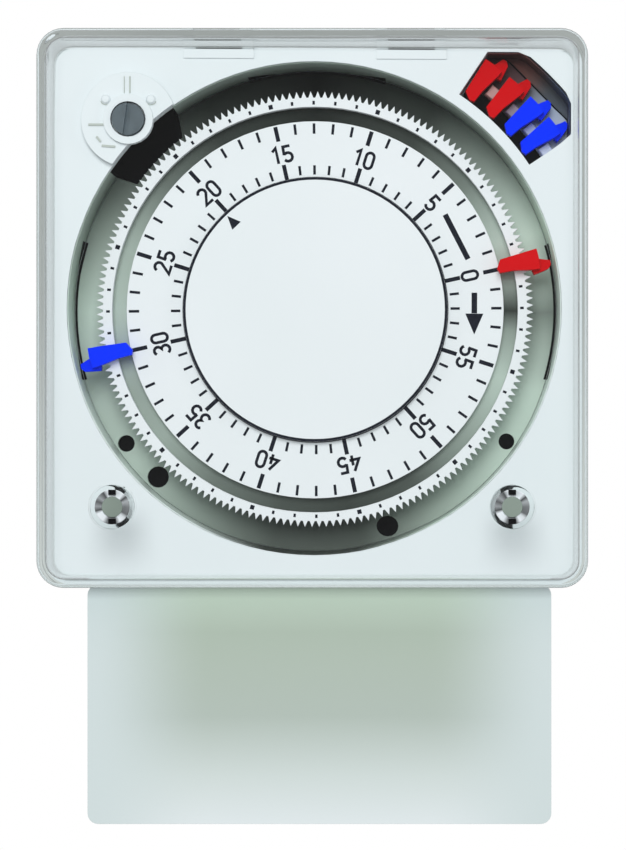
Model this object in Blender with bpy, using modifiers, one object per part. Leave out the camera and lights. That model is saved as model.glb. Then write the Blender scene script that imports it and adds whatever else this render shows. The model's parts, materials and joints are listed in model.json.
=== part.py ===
"""Programmable 60-minute timer: a toothed dial with plug-in trippers behind a clear hood.

The pieces are modelled in one front-view frame, parented to the empty mounting_frame:
x runs to the right, y runs up the wall and z comes straight out of the wall. The dial turns
about the frame's z axis. The empty is tipped so that +Z is up and the dial faces -Y.
"""

import math

import bmesh
import bpy

MM = 0.001
GAP = 0.3 * MM
OVERCUT = 1.0 * MM

# Head of the case, with the clear hood in front of it.
HEAD_WIDTH = 100.0 * MM
HEAD_HEIGHT = 101.5 * MM
HEAD_CENTRE = (0.0, -0.65 * MM)
HEAD_CORNER = 4.9 * MM
HEAD_BACK = 28.0 * MM
PLATE_FACE = 44.0 * MM
PLATE_THICKNESS = 2.2 * MM
HEAD_WALL = 2.0 * MM
HOOD_FACE = 60.0 * MM
HOOD_WALL = 1.5 * MM
HOOD_GLAZING = 1.8 * MM
HEAD_TOP = HEAD_CENTRE[1] + HEAD_HEIGHT / 2
HEAD_BOTTOM = HEAD_CENTRE[1] - HEAD_HEIGHT / 2

# Hinge of the hood, along x at the rear of its top wall.
HINGE_HEIGHT = HEAD_TOP - HOOD_WALL
HINGE_DEPTH = PLATE_FACE - 1.8 * MM
HINGE_CENTRES = (-18.0 * MM, 18.0 * MM)
KNUCKLE_LENGTH = 8.0 * MM
KNUCKLE_RADIUS = 1.5 * MM
LUG_LENGTH = 2.0 * MM
LUG_RADIUS = 1.3 * MM
PIN_RADIUS = 0.55 * MM
REBATE_DEPTH = 4.2 * MM

# Quarter-turn locks in the hood's lower corners.
LOCK_CENTRES = {"left": (-36.2 * MM, -36.7 * MM), "right": (36.2 * MM, -36.7 * MM)}
LOCK_HEAD_RADIUS = 4.05 * MM
LOCK_HEAD_THICKNESS = 1.2 * MM
LOCK_STEM_RADIUS = 2.2 * MM
LOCK_SEAT = 1.0 * MM
LOCK_LUG = (6.2 * MM, 1.3 * MM, 0.9 * MM)

# Base behind the head and the terminals. It stands a little to the right of the dial axis.
BASE_WIDTH = 87.3 * MM
BASE_CENTRE_X = 1.0 * MM
BASE_TOP = 46.0 * MM
BASE_BOTTOM = -96.8 * MM
BASE_DEPTH = 27.7 * MM
BASE_WALL = 2.0 * MM
BASE_BACK = 2.4 * MM
BASE_CORNER = 2.0 * MM
LOWER_BACK = 8.8 * MM
COVER_FACE = 40.0 * MM

# Channel for a 35 mm rail across the back, with a fixed lip above and a latch below.
RAIL_CENTRE = -25.0 * MM
RAIL_HEIGHT = 35.6 * MM
RAIL_DEPTH = 7.8 * MM
RAIL_LIP = (1.5 * MM, 6.2 * MM)
LATCH_WIDTH = 12.0 * MM
LATCH_THICKNESS = 2.2 * MM
LATCH_BACK = 3.8 * MM
LATCH_REACH = 1.9 * MM
LATCH_END = -94.0 * MM
LATCH_WINDOW = (4.0 * MM, -70.0 * MM, -55.0 * MM)
PEG_SIZE = (3.0 * MM, 2.0 * MM)

# Dial and the recess it turns in.
RECESS_RADIUS = 46.2 * MM
RECESS_FLOOR = 32.0 * MM
FLOOR_THICKNESS = 1.2 * MM
LEDGE_RADIUS = 42.0 * MM
# Holes through the floor: radius from the axis, angle, hole radius.
FLOOR_HOLES = ((44.0, 214.9, 1.6), (43.5, 226.5, 2.05), (43.4, 288.7, 2.1), (44.1, 325.9, 1.55))
TOOTH_TIP = 41.1 * MM
TOOTH_ROOT = 39.9 * MM
TOOTH_FOOT = 0.36
RING_INNER = 38.2 * MM
SCALE_RADIUS = 35.5 * MM
CENTRE_RADIUS = 24.85 * MM
DIAL_TEETH = 192
DIAL_BACK = 38.1 * MM
DIAL_FACE = 40.0 * MM
DIAL_PLATE = (39.6 * MM, 36.6 * MM, 37.8 * MM)
ZERO_MARK = 12.65
HALF_TURN = 180.0

# Outlines of a tripper in millimetres, outward from the dial's axis and across.
TRIPPER_TOP = ((35.0, 0.0), (35.3, -0.9), (37.9, -1.0), (41.8, -1.7), (42.9, -1.75), (43.1, 0.4),
               (43.0, 2.1), (35.9, 1.55))
TRIPPER_TAIL = ((41.45, -1.6), (41.7, -2.5), (44.6, -2.0), (45.2, -1.3), (45.15, -0.5), (43.0, 0.3))
TRIPPER_HEIGHT = 2.6 * MM
TAIL_HEIGHT = 0.9 * MM

# Manual switch shaft, star wheel and the black window beside them.
SWITCH_RADIUS = 49.3 * MM
SWITCH_ANGLE = 134.8
WINDOW_ANGLES = (125.4, 146.5)
WINDOW_INNER = 42.0 * MM
STAR_POINT = 3.7 * MM
CARRIER_REACH = 53.0 * MM
BEZEL_RADIUS = 8.8 * MM
COLLAR_RADIUS = 4.65 * MM
SHAFT_RADIUS = 1.9 * MM
SCREW_HEAD_RADIUS = 3.0 * MM

# Rack for spare trippers in the head's upper right corner.
RACK_ANGLES = (34.0, 56.2)
RACK_RADII = (48.3 * MM, 62.0 * MM)
RACK_EDGE = 48.1 * MM
RACK_FLOOR = 37.0 * MM
SPARE_ANGLES = {"on_1": 53.75, "on_2": 48.1, "off_1": 42.7, "off_2": 37.5}
SPARE_SHIFT = 13.75 * MM

# Movement: two plates, and a gear train of 60 turns of the motor to one of the dial.
REAR_PLATE = (11.6 * MM, 12.8 * MM)
FRONT_PLATE = (28.4 * MM, 29.6 * MM)
PRESSURE_ANGLE = math.radians(25)
ADDENDUM = 0.7
DEDENDUM = 1.0
TOOTH_THINNING = 0.86
DIAL_MODULE = 0.45 * MM
MOTOR_MODULE = 0.40 * MM
DIAL_GEAR_TEETH = 100
MIDDLE_GEAR_TEETH = 60
PINION_TEETH = 10
MIDDLE_DIRECTION = 250.0
MOTOR_DIRECTION = 290.0
MOTOR_OFFSET = 8.0 * MM
MOTOR_RADIUS = 17.0 * MM

# Terminals.
POLES = 5
POLE_PITCH = 13.0 * MM
BLOCK_BOTTOM = -91.0 * MM
BLOCK_TOP = -67.0 * MM
BLOCK_BACK = 9.2 * MM
BLOCK_FRONT = 27.2 * MM

FULL_SIDES = 96
ROUND_SIDES = 24
SMALL_SIDES = 12

COLOURS = {
    "case_white": ((0.84, 0.87, 0.88), 0.45, 0.0),
    "dial_white": ((0.86, 0.89, 0.90), 0.40, 0.0),
    "clear": ((0.93, 0.95, 0.95), 0.05, 0.0),
    "dial_metal": ((0.42, 0.44, 0.41), 0.30, 1.0),
    "steel": ((0.60, 0.60, 0.60), 0.32, 1.0),
    "brass": ((0.72, 0.55, 0.28), 0.35, 1.0),
    "black": ((0.02, 0.02, 0.02), 0.50, 0.0),
    "grey": ((0.33, 0.35, 0.35), 0.45, 0.0),
    "red": ((0.58, 0.005, 0.01), 0.40, 0.0),
    "blue": ((0.0, 0.06, 0.90), 0.40, 0.0),
}


# Helpers.

def polar(radius, degrees):
    angle = math.radians(degrees)
    return (radius * math.cos(angle), radius * math.sin(angle))


def arc(radius, start, end, steps):
    """Points on an arc about the dial axis, both ends included."""
    return [polar(radius, start + (end - start) * i / steps) for i in range(steps + 1)]


def circle(radius, sides, centre=(0.0, 0.0)):
    points = arc(radius, 0, 360 - 360 / sides, sides - 1)
    return [(centre[0] + x, centre[1] + y) for x, y in points]


def sector(inner, outer, start, end, steps=12):
    """Outline of a piece of a ring about the dial axis."""
    return arc(outer, start, end, steps) + arc(inner, end, start, steps)


def rectangle(left, bottom, right, top, radius=0.0, steps=5):
    """Outline of a rectangle, with rounded corners where a radius is given."""
    if radius == 0:
        return [(left, bottom), (right, bottom), (right, top), (left, top)]
    points = []
    centres = ((right, top, -1, -1), (left, top, 1, -1), (left, bottom, 1, 1), (right, bottom, -1, 1))
    for quarter, (x, y, side_x, side_y) in enumerate(centres):
        for dx, dy in arc(radius, 90 * quarter, 90 * quarter + 90, steps):
            points.append((x + side_x * radius + dx, y + side_y * radius + dy))
    return points


def around(centre, width, height, radius=0.0, steps=5):
    """Outline of a rectangle given by its centre."""
    x, y = centre
    return rectangle(x - width / 2, y - height / 2, x + width / 2, y + height / 2, radius, steps)


def material(name):
    colour, roughness, metallic = COLOURS[name]
    made = bpy.data.materials.get(name) or bpy.data.materials.new(name)
    made.use_nodes = True
    shader = made.node_tree.nodes["Principled BSDF"]
    shader.inputs["Base Color"].default_value = (*colour, 1.0)
    shader.inputs["Roughness"].default_value = roughness
    shader.inputs["Metallic"].default_value = metallic
    return made


def place(name, mesh, location, finish):
    """Put a mesh in the frame as a piece, or as a cutter where it has no finish."""
    piece = bpy.data.objects.new(name, mesh)
    piece.location = location
    piece.parent = frame
    if finish is None:
        cutters.objects.link(piece)
        piece.hide_render = True
        piece.display_type = "WIRE"
    else:
        parts.objects.link(piece)
        mesh.materials.clear()
        mesh.materials.append(material(finish))
    return piece


def smooth(mesh):
    mesh.shade_smooth()
    mesh.set_sharp_from_angle(angle=math.radians(32))


def plate(name, outlines, back, front, finish=None):
    """A flat outline, with any holes as further outlines, extruded between two depths."""
    curve = bpy.data.curves.new(name, "CURVE")
    curve.dimensions = "2D"
    curve.fill_mode = "BOTH"
    curve.extrude = (front - back) / 2
    for outline in outlines:
        spline = curve.splines.new("POLY")
        spline.points.add(len(outline) - 1)
        spline.use_cyclic_u = True
        for point, (x, y) in zip(spline.points, outline):
            point.co = (x, y, 0.0, 1.0)
    guide = bpy.data.objects.new(name + "_outline", curve)
    cutters.objects.link(guide)
    mesh = bpy.data.meshes.new_from_object(guide.evaluated_get(bpy.context.evaluated_depsgraph_get()))
    bpy.data.objects.remove(guide)
    bpy.data.curves.remove(curve)
    shell = bmesh.new()
    shell.from_mesh(mesh)
    bmesh.ops.remove_doubles(shell, verts=shell.verts, dist=0.001 * MM)
    bmesh.ops.recalc_face_normals(shell, faces=shell.faces)
    shell.to_mesh(mesh)
    shell.free()
    smooth(mesh)
    return place(name, mesh, (0.0, 0.0, (back + front) / 2), finish)


def block(name, low, high, finish=None):
    """A cube stretched between two corners of the frame."""
    mesh = bpy.data.meshes.new(name)
    shell = bmesh.new()
    bmesh.ops.create_cube(shell, size=1.0)
    bmesh.ops.scale(shell, vec=[high[i] - low[i] for i in range(3)], verts=shell.verts)
    shell.to_mesh(mesh)
    shell.free()
    return place(name, mesh, [(high[i] + low[i]) / 2 for i in range(3)], finish)


def rod(name, radius, back, front, centre=(0.0, 0.0), finish=None, sides=ROUND_SIDES, along="z"):
    """A cylinder along z, or along x with its centre given in y and z."""
    mesh = bpy.data.meshes.new(name)
    shell = bmesh.new()
    bmesh.ops.create_cone(shell, cap_ends=True, segments=sides, radius1=radius, radius2=radius,
                          depth=front - back)
    shell.to_mesh(mesh)
    shell.free()
    smooth(mesh)
    middle = (back + front) / 2
    if along == "z":
        return place(name, mesh, (*centre, middle), finish)
    piece = place(name, mesh, (middle, *centre), finish)
    piece.rotation_euler = (0.0, math.radians(90), 0.0)
    return piece


def turned(name, profile, centre=(0.0, 0.0), finish=None, sides=ROUND_SIDES):
    """A closed profile of (radius, depth) points turned about z. It runs down its outer side."""
    mesh = bpy.data.meshes.new(name)
    shell = bmesh.new()
    points = [shell.verts.new((radius, 0.0, depth)) for radius, depth in profile]
    for first, second in zip(points, points[1:] + points[:1]):
        shell.edges.new((first, second))
    shell.to_mesh(mesh)
    shell.free()
    piece = place(name, mesh, (*centre, 0.0), finish)
    screw = piece.modifiers.new("turn", "SCREW")
    screw.axis = "Z"
    screw.steps = sides
    screw.render_steps = sides
    screw.use_merge_vertices = True
    screw.merge_threshold = 0.001 * MM
    screw.use_smooth_shade = False
    return piece


def washer(name, outer, inner, back, front, centre=(0.0, 0.0), finish=None, sides=ROUND_SIDES):
    profile = [(outer, front), (outer, back), (inner, back), (inner, front)]
    return turned(name, profile, centre, finish, sides)


def combine(piece, other, operation):
    step = piece.modifiers.new(other.name, "BOOLEAN")
    step.operation = operation
    step.object = other
    step.solver = "EXACT"


def cut(piece, *others):
    for other in others:
        combine(piece, other, "DIFFERENCE")


def join(piece, *others):
    for other in others:
        combine(piece, other, "UNION")


def pivot(name, location, parent=None):
    """An empty on a joint's axis, in the frame or on another joint's empty."""
    empty = bpy.data.objects.new(name, None)
    empty.empty_display_size = 5 * MM
    parts.objects.link(empty)
    empty.parent = parent or frame
    offset = parent.location if parent else (0.0, 0.0, 0.0)
    empty.location = [location[i] - offset[i] for i in range(3)]
    empty["origin"] = location
    return empty


def hang(empty, *pieces):
    """Parent pieces to a joint's empty and leave them where they are."""
    for piece in pieces:
        piece.parent = empty
        piece.location = [piece.location[i] - empty["origin"][i] for i in range(3)]


def turn_about(piece, degrees, centre=(0.0, 0.0)):
    """Swing a piece about an axis along z."""
    x, y = piece.location[0] - centre[0], piece.location[1] - centre[1]
    angle = math.radians(degrees)
    piece.location[0] = centre[0] + x * math.cos(angle) - y * math.sin(angle)
    piece.location[1] = centre[1] + x * math.sin(angle) + y * math.cos(angle)
    piece.rotation_euler[2] += angle


def involute(angle):
    return math.tan(angle) - angle


def gear_outline(teeth, module, phase, flank_steps):
    """Spur gear outline about the origin, with a tooth centred on the phase angle."""
    pitch = module * teeth / 2
    base = pitch * math.cos(PRESSURE_ANGLE)
    root = pitch - DEDENDUM * module
    tip = pitch + ADDENDUM * module
    start = max(base, root)
    radii = [start + (tip - start) * i / flank_steps for i in range(flank_steps + 1)]
    if root < base:
        radii.insert(0, root)
    half_pitch = TOOTH_THINNING * math.pi / (2 * teeth)
    flank = []
    for radius in radii:
        pressure = math.acos(min(1.0, base / radius))
        flank.append((radius, half_pitch + involute(PRESSURE_ANGLE) - involute(pressure)))
    points = []
    for tooth in range(teeth):
        middle = math.radians(phase) + 2 * math.pi * tooth / teeth
        for radius, half in flank:
            points.append((radius * math.cos(middle - half), radius * math.sin(middle - half)))
        for radius, half in reversed(flank):
            points.append((radius * math.cos(middle + half), radius * math.sin(middle + half)))
    return points


def gear(name, teeth, module, phase, bore, back, front, centre, finish, flank_steps=1):
    outline = gear_outline(teeth, module, phase, flank_steps)
    hole = circle(bore, SMALL_SIDES)
    moved = [[(centre[0] + x, centre[1] + y) for x, y in loop] for loop in (outline, hole)]
    return plate(name, moved, back, front, finish)


def shift(point, distance, degrees):
    dx, dy = polar(distance, degrees)
    return (point[0] + dx, point[1] + dy)


# Places worked out from the dimensions above.
SWITCH = polar(SWITCH_RADIUS, SWITCH_ANGLE)
MIDDLE = polar(DIAL_MODULE * (DIAL_GEAR_TEETH + PINION_TEETH) / 2, MIDDLE_DIRECTION)
MOTOR = shift(MIDDLE, MOTOR_MODULE * (MIDDLE_GEAR_TEETH + PINION_TEETH) / 2, MOTOR_DIRECTION)
MOTOR_CENTRE = shift(MOTOR, MOTOR_OFFSET, MOTOR_DIRECTION)
BASE_LEFT = BASE_CENTRE_X - BASE_WIDTH / 2
BASE_RIGHT = BASE_CENTRE_X + BASE_WIDTH / 2
RAIL_LOW = RAIL_CENTRE - RAIL_HEIGHT / 2
RAIL_HIGH = RAIL_CENTRE + RAIL_HEIGHT / 2
COVER_TOP = HEAD_BOTTOM - GAP
POLE_CENTRES = [BASE_CENTRE_X + POLE_PITCH * (i - (POLES - 1) / 2) for i in range(POLES)]


# Case.

def base_housing():
    """Open-fronted tray that the wall or the rail carries."""
    base = plate("base_housing", [rectangle(BASE_LEFT, BASE_BOTTOM, BASE_RIGHT, BASE_TOP, BASE_CORNER)],
                 0.0, BASE_DEPTH, "case_white")
    left, right = BASE_LEFT + BASE_WALL, BASE_RIGHT - BASE_WALL
    low, high = BASE_BOTTOM + BASE_WALL, BASE_TOP - BASE_WALL
    channel_floor = RAIL_DEPTH + BASE_BACK
    cut(base, block("main_cavity", (left, low, channel_floor), (right, high, BASE_DEPTH + OVERCUT)))
    cut(base, block("upper_cavity", (left, RAIL_HIGH + BASE_BACK, BASE_BACK),
                    (right, high, channel_floor + OVERCUT)))
    cut(base, block("lower_cavity", (left, low, LOWER_BACK),
                    (right, RAIL_LOW - BASE_BACK, channel_floor + OVERCUT)))
    beyond_left, beyond_right = BASE_LEFT - OVERCUT, BASE_RIGHT + OVERCUT
    lip_height, lip_depth = RAIL_LIP
    cut(base, block("rail_channel", (beyond_left, RAIL_LOW, lip_depth), (beyond_right, RAIL_HIGH, RAIL_DEPTH)))
    cut(base, block("rail_mouth", (beyond_left, RAIL_LOW, -OVERCUT),
                    (beyond_right, RAIL_HIGH - lip_height, lip_depth + OVERCUT)))
    half = LATCH_WIDTH / 2 + GAP
    groove = block("latch_groove", (BASE_CENTRE_X - half, BASE_BOTTOM - OVERCUT, -OVERCUT),
                   (BASE_CENTRE_X + half, RAIL_LOW + OVERCUT, LATCH_BACK + LATCH_THICKNESS + GAP))
    peg_width, peg_height = PEG_SIZE
    peg_low = LATCH_WINDOW[1] + 0.5 * MM
    peg = block("spring_peg", (BASE_CENTRE_X - peg_width / 2, peg_low, LATCH_BACK),
                (BASE_CENTRE_X + peg_width / 2, peg_low + peg_height, LOWER_BACK))
    cut(groove, peg)
    cut(base, groove)
    cut(base, block("cable_entry", (BASE_CENTRE_X - 33 * MM, BASE_BOTTOM - OVERCUT, 11.5 * MM),
                    (BASE_CENTRE_X + 33 * MM, low + OVERCUT, 20.5 * MM)))
    for index, spot in enumerate(((24 * MM, 38 * MM), (-24 * MM, 38 * MM), (-32 * MM, -60 * MM),
                                  (34 * MM, -60 * MM))):
        cut(base, rod(f"wall_screw_hole_{index + 1}", 2.2 * MM, -OVERCUT, LOWER_BACK + OVERCUT, spot,
                      sides=SMALL_SIDES))
    return base


def head_housing():
    """Front frame with the dial's recess, the star wheel's window and the rack's pocket."""
    head = plate("head_housing", [around(HEAD_CENTRE, HEAD_WIDTH, HEAD_HEIGHT, HEAD_CORNER)],
                 HEAD_BACK, PLATE_FACE, "case_white")
    inside = rectangle(BASE_LEFT + BASE_WALL, HEAD_BOTTOM + HEAD_WALL, BASE_RIGHT - BASE_WALL,
                       BASE_TOP - BASE_WALL)
    hollow = plate("corner_hollows", [inside], HEAD_BACK - OVERCUT, PLATE_FACE - PLATE_THICKNESS)
    cut(hollow, rod("recess_wall", RECESS_RADIUS + 1.2 * MM, 0.0, HOOD_FACE, sides=64))
    rack_wall = plate("rack_wall", [rack_outline(1.2 * MM)], RACK_FLOOR - 1.2 * MM, PLATE_FACE)
    cut(hollow, rack_wall)
    cut(head, hollow)
    ledge = RECESS_FLOOR - FLOOR_THICKNESS - GAP
    cut(head, rod("dial_recess", RECESS_RADIUS, ledge, PLATE_FACE + OVERCUT, sides=FULL_SIDES))
    cut(head, rod("rear_bore", LEDGE_RADIUS, HEAD_BACK - OVERCUT, ledge + OVERCUT, sides=64))
    pierce_floor(head, HEAD_BACK - OVERCUT)
    cut(head, plate("rack_pocket", [rack_outline(0.0)], RACK_FLOOR, PLATE_FACE + OVERCUT))
    start, end = WINDOW_ANGLES
    cut(head, plate("star_window", [sector(LEDGE_RADIUS - OVERCUT, RECESS_RADIUS + 3 * MM, start, end)],
                    ledge - 0.9 * MM, PLATE_FACE - PLATE_THICKNESS - 0.2 * MM))
    cut(head, rod("shaft_hole", SHAFT_RADIUS + GAP, RECESS_FLOOR, PLATE_FACE + OVERCUT, SWITCH,
                  sides=ROUND_SIDES))
    for middle in (0, 90, 180):
        cut(head, plate(f"snap_slot_{middle}", [sector(RECESS_RADIUS - OVERCUT, RECESS_RADIUS + 0.9 * MM,
                                                       middle - 16.5, middle + 16.5, 6)],
                        33 * MM, 36.5 * MM))
    for x, y in LOCK_CENTRES.values():
        slot = around((x, y), LOCK_LUG[1] + 2 * GAP, LOCK_LUG[0] + 2 * GAP)
        cut(head, plate(f"lock_slot_{x > 0}", [slot], RECESS_FLOOR, PLATE_FACE + OVERCUT))
        cut(head, rod(f"lock_hole_{x > 0}", LOCK_STEM_RADIUS + GAP, RECESS_FLOOR + OVERCUT,
                      PLATE_FACE + 2 * OVERCUT, (x, y), sides=ROUND_SIDES))
    beyond = HEAD_WIDTH / 2 + OVERCUT
    cut(head, block("hinge_rebate", (-beyond, HINGE_HEIGHT - GAP, PLATE_FACE - REBATE_DEPTH),
                    (beyond, HEAD_TOP + OVERCUT, PLATE_FACE + OVERCUT)))
    axis = (HINGE_HEIGHT, HINGE_DEPTH)
    for centre in HINGE_CENTRES:
        half = KNUCKLE_LENGTH / 2 + GAP
        cut(head, rod(f"knuckle_notch_{centre > 0}", KNUCKLE_RADIUS + GAP, centre - half, centre + half,
                      axis, sides=16, along="x"))
        for side in (-1, 1):
            middle = centre + side * (half + 0.05 * MM + LUG_LENGTH / 2)
            lug = block(f"hinge_lug_{centre > 0}_{side > 0}",
                        (middle - LUG_LENGTH / 2, HINGE_HEIGHT - 2 * LUG_RADIUS, HINGE_DEPTH - LUG_RADIUS),
                        (middle + LUG_LENGTH / 2, HINGE_HEIGHT + LUG_RADIUS, HINGE_DEPTH + LUG_RADIUS))
            join(head, lug)
            cut(head, rod(f"pin_hole_{centre > 0}_{side > 0}", PIN_RADIUS + GAP, middle - LUG_LENGTH,
                          middle + LUG_LENGTH, axis, sides=SMALL_SIDES, along="x"))
    return head


def rack_outline(grow):
    """Pocket for the rack: a piece of a ring that stops at the head's walls."""
    start, end = RACK_ANGLES
    inner, outer = RACK_RADII
    start, end = start - grow / MM, end + grow / MM
    points = []
    steps = 10
    for index in range(steps + 1):
        degrees = start + (end - start) * index / steps
        angle = math.radians(degrees)
        to_wall = (RACK_EDGE + grow) / max(math.cos(angle), math.sin(angle))
        points.append(polar(min(outer + grow, to_wall), degrees))
    return points + arc(inner - grow, end, start, steps)


def pierce_floor(piece, back):
    for index, (radius, angle, size) in enumerate(FLOOR_HOLES):
        cut(piece, rod(f"floor_hole_{piece.name}_{index + 1}", size * MM, back, RECESS_FLOOR + OVERCUT,
                       polar(radius * MM, angle), sides=16))


def recess_plate():
    """Bright metal floor behind the dial."""
    outer = RECESS_RADIUS - GAP
    start, end = WINDOW_ANGLES
    outline = arc(outer, end, 360 + start, FULL_SIDES)
    notch = arc(WINDOW_INNER, start + 2.5, end - 1.5, 8)
    floor = plate("recess_plate", [outline + notch, circle(5.4 * MM, ROUND_SIDES)],
                  RECESS_FLOOR - FLOOR_THICKNESS, RECESS_FLOOR, "dial_metal")
    pierce_floor(floor, RECESS_FLOOR - 2 * FLOOR_THICKNESS)
    return floor


def terminal_cover():
    cover = plate("terminal_cover", [rectangle(BASE_LEFT, BASE_BOTTOM, BASE_RIGHT, COVER_TOP, BASE_CORNER)],
                  BASE_DEPTH + GAP, COVER_FACE, "case_white")
    cut(cover, block("cover_cavity", (BASE_LEFT + BASE_WALL, BASE_BOTTOM + BASE_WALL, BASE_DEPTH - OVERCUT),
                     (BASE_RIGHT - BASE_WALL, COVER_TOP - BASE_WALL, COVER_FACE - BASE_WALL)))
    hang(pivot("cover_slide", (BASE_CENTRE_X, (COVER_TOP + BASE_BOTTOM) / 2, COVER_FACE)), cover)


def clear_hood():
    """Clear hood with two hinge knuckles, and the two locks that it carries."""
    back = PLATE_FACE + GAP
    hood = plate("clear_hood", [around(HEAD_CENTRE, HEAD_WIDTH, HEAD_HEIGHT, HEAD_CORNER)],
                 back, HOOD_FACE, "clear")
    inside = around(HEAD_CENTRE, HEAD_WIDTH - 2 * HOOD_WALL, HEAD_HEIGHT - 2 * HOOD_WALL,
                    HEAD_CORNER - HOOD_WALL)
    cut(hood, plate("hood_cavity", [inside], back - OVERCUT, HOOD_FACE - HOOD_GLAZING))
    axis = (HINGE_HEIGHT, HINGE_DEPTH)
    for centre in HINGE_CENTRES:
        half = KNUCKLE_LENGTH / 2
        join(hood, block(f"knuckle_web_{centre > 0}", (centre - half, HINGE_HEIGHT, HINGE_DEPTH),
                         (centre + half, HEAD_TOP - 0.05 * MM, back + 0.5 * MM)))
        join(hood, rod(f"knuckle_{centre > 0}", KNUCKLE_RADIUS, centre - half + 0.01 * MM,
                       centre + half - 0.01 * MM, axis, sides=SMALL_SIDES, along="x"))
        cut(hood, rod(f"knuckle_bore_{centre > 0}", PIN_RADIUS + GAP, centre - half - OVERCUT,
                      centre + half + OVERCUT, axis, sides=SMALL_SIDES, along="x"))
    hinge = pivot("hood_hinge", (0.0, *axis))
    for side, centre in LOCK_CENTRES.items():
        cut(hood, rod(f"lock_seat_{side}", LOCK_HEAD_RADIUS + GAP, HOOD_FACE - LOCK_SEAT,
                      HOOD_FACE + OVERCUT, centre, sides=ROUND_SIDES))
        cut(hood, rod(f"lock_bore_{side}", LOCK_STEM_RADIUS + GAP, HOOD_FACE - 2 * HOOD_GLAZING,
                      HOOD_FACE + OVERCUT, centre, sides=ROUND_SIDES))
        hood_lock(side, centre, hinge)
    hang(hinge, hood)


def hood_lock(side, centre, hinge):
    """Clear quarter-turn pin with a bayonet lug behind the plate."""
    head_back = HOOD_FACE - LOCK_SEAT + GAP
    stem_end = PLATE_FACE - PLATE_THICKNESS - GAP - LOCK_LUG[2]
    profile = [(0.0, head_back + LOCK_HEAD_THICKNESS), (LOCK_HEAD_RADIUS, head_back + LOCK_HEAD_THICKNESS),
               (LOCK_HEAD_RADIUS, head_back), (LOCK_STEM_RADIUS, head_back),
               (LOCK_STEM_RADIUS, stem_end), (0.0, stem_end)]
    lock = turned(f"hood_lock_{side}", profile, centre, "clear")
    lug = block(f"lock_lug_{side}", (centre[0] - LOCK_LUG[0] / 2, centre[1] - LOCK_LUG[1] / 2, stem_end),
                (centre[0] + LOCK_LUG[0] / 2, centre[1] + LOCK_LUG[1] / 2, stem_end + LOCK_LUG[2]))
    join(lock, lug)
    for direction in (-1, 1):
        notch = (centre[0], centre[1] + direction * 2.6 * MM)
        cut(lock, plate(f"key_notch_{side}_{direction > 0}", [around(notch, 1.3 * MM, 1.0 * MM)],
                        head_back + 0.5 * MM, HOOD_FACE + OVERCUT))
    hang(pivot(f"lock_axis_{side}", (*centre, HOOD_FACE), hinge), lock)


def hinge_pins():
    for side, centre in zip(("left", "right"), HINGE_CENTRES):
        reach = KNUCKLE_LENGTH / 2 + GAP + LUG_LENGTH
        rod(f"hinge_pin_{side}", PIN_RADIUS, centre - reach, centre + reach, (HINGE_HEIGHT, HINGE_DEPTH),
            "steel", 12, "x")


def rail_latch():
    """Sprung slider that holds the lower edge of the rail."""
    front = LATCH_BACK + LATCH_THICKNESS
    half = LATCH_WIDTH / 2
    latch = block("rail_latch", (BASE_CENTRE_X - half, LATCH_END, LATCH_BACK),
                  (BASE_CENTRE_X + half, RAIL_LOW + LATCH_REACH, front), "grey")
    width, low, high = LATCH_WINDOW
    cut(latch, block("latch_window", (BASE_CENTRE_X - width / 2, low, -OVERCUT),
                     (BASE_CENTRE_X + width / 2, high, front + OVERCUT)))
    cut(latch, block("latch_key_slot", (BASE_CENTRE_X - 3 * MM, LATCH_END + 3 * MM, -OVERCUT),
                     (BASE_CENTRE_X + 3 * MM, LATCH_END + 5 * MM, front + OVERCUT)))
    hang(pivot("latch_slide", (BASE_CENTRE_X, RAIL_LOW, LATCH_BACK)), latch)
    spring_low = low + 0.5 * MM + PEG_SIZE[1] + GAP
    spring_high = high - GAP
    coil_spring("rail_latch_spring", 0.72 * MM, 0.16 * MM, 5, spring_low, spring_high,
                (BASE_CENTRE_X, LATCH_BACK + LATCH_THICKNESS / 2))


def coil_spring(name, radius, wire, turns, low, high, centre):
    """Compression spring along y."""
    curve = bpy.data.curves.new(name, "CURVE")
    curve.dimensions = "3D"
    curve.bevel_depth = wire
    curve.bevel_resolution = 1
    curve.use_fill_caps = True
    spline = curve.splines.new("POLY")
    steps = turns * 10
    spline.points.add(steps)
    for index, point in enumerate(spline.points):
        angle = 2 * math.pi * index / 10
        rise = wire + (high - low - 2 * wire) * index / steps
        point.co = (radius * math.cos(angle), rise, radius * math.sin(angle), 1.0)
    spring = bpy.data.objects.new(name, curve)
    spring.location = (centre[0], low, centre[1])
    spring.parent = frame
    parts.objects.link(spring)
    curve.materials.append(material("steel"))


# Dial.

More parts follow.
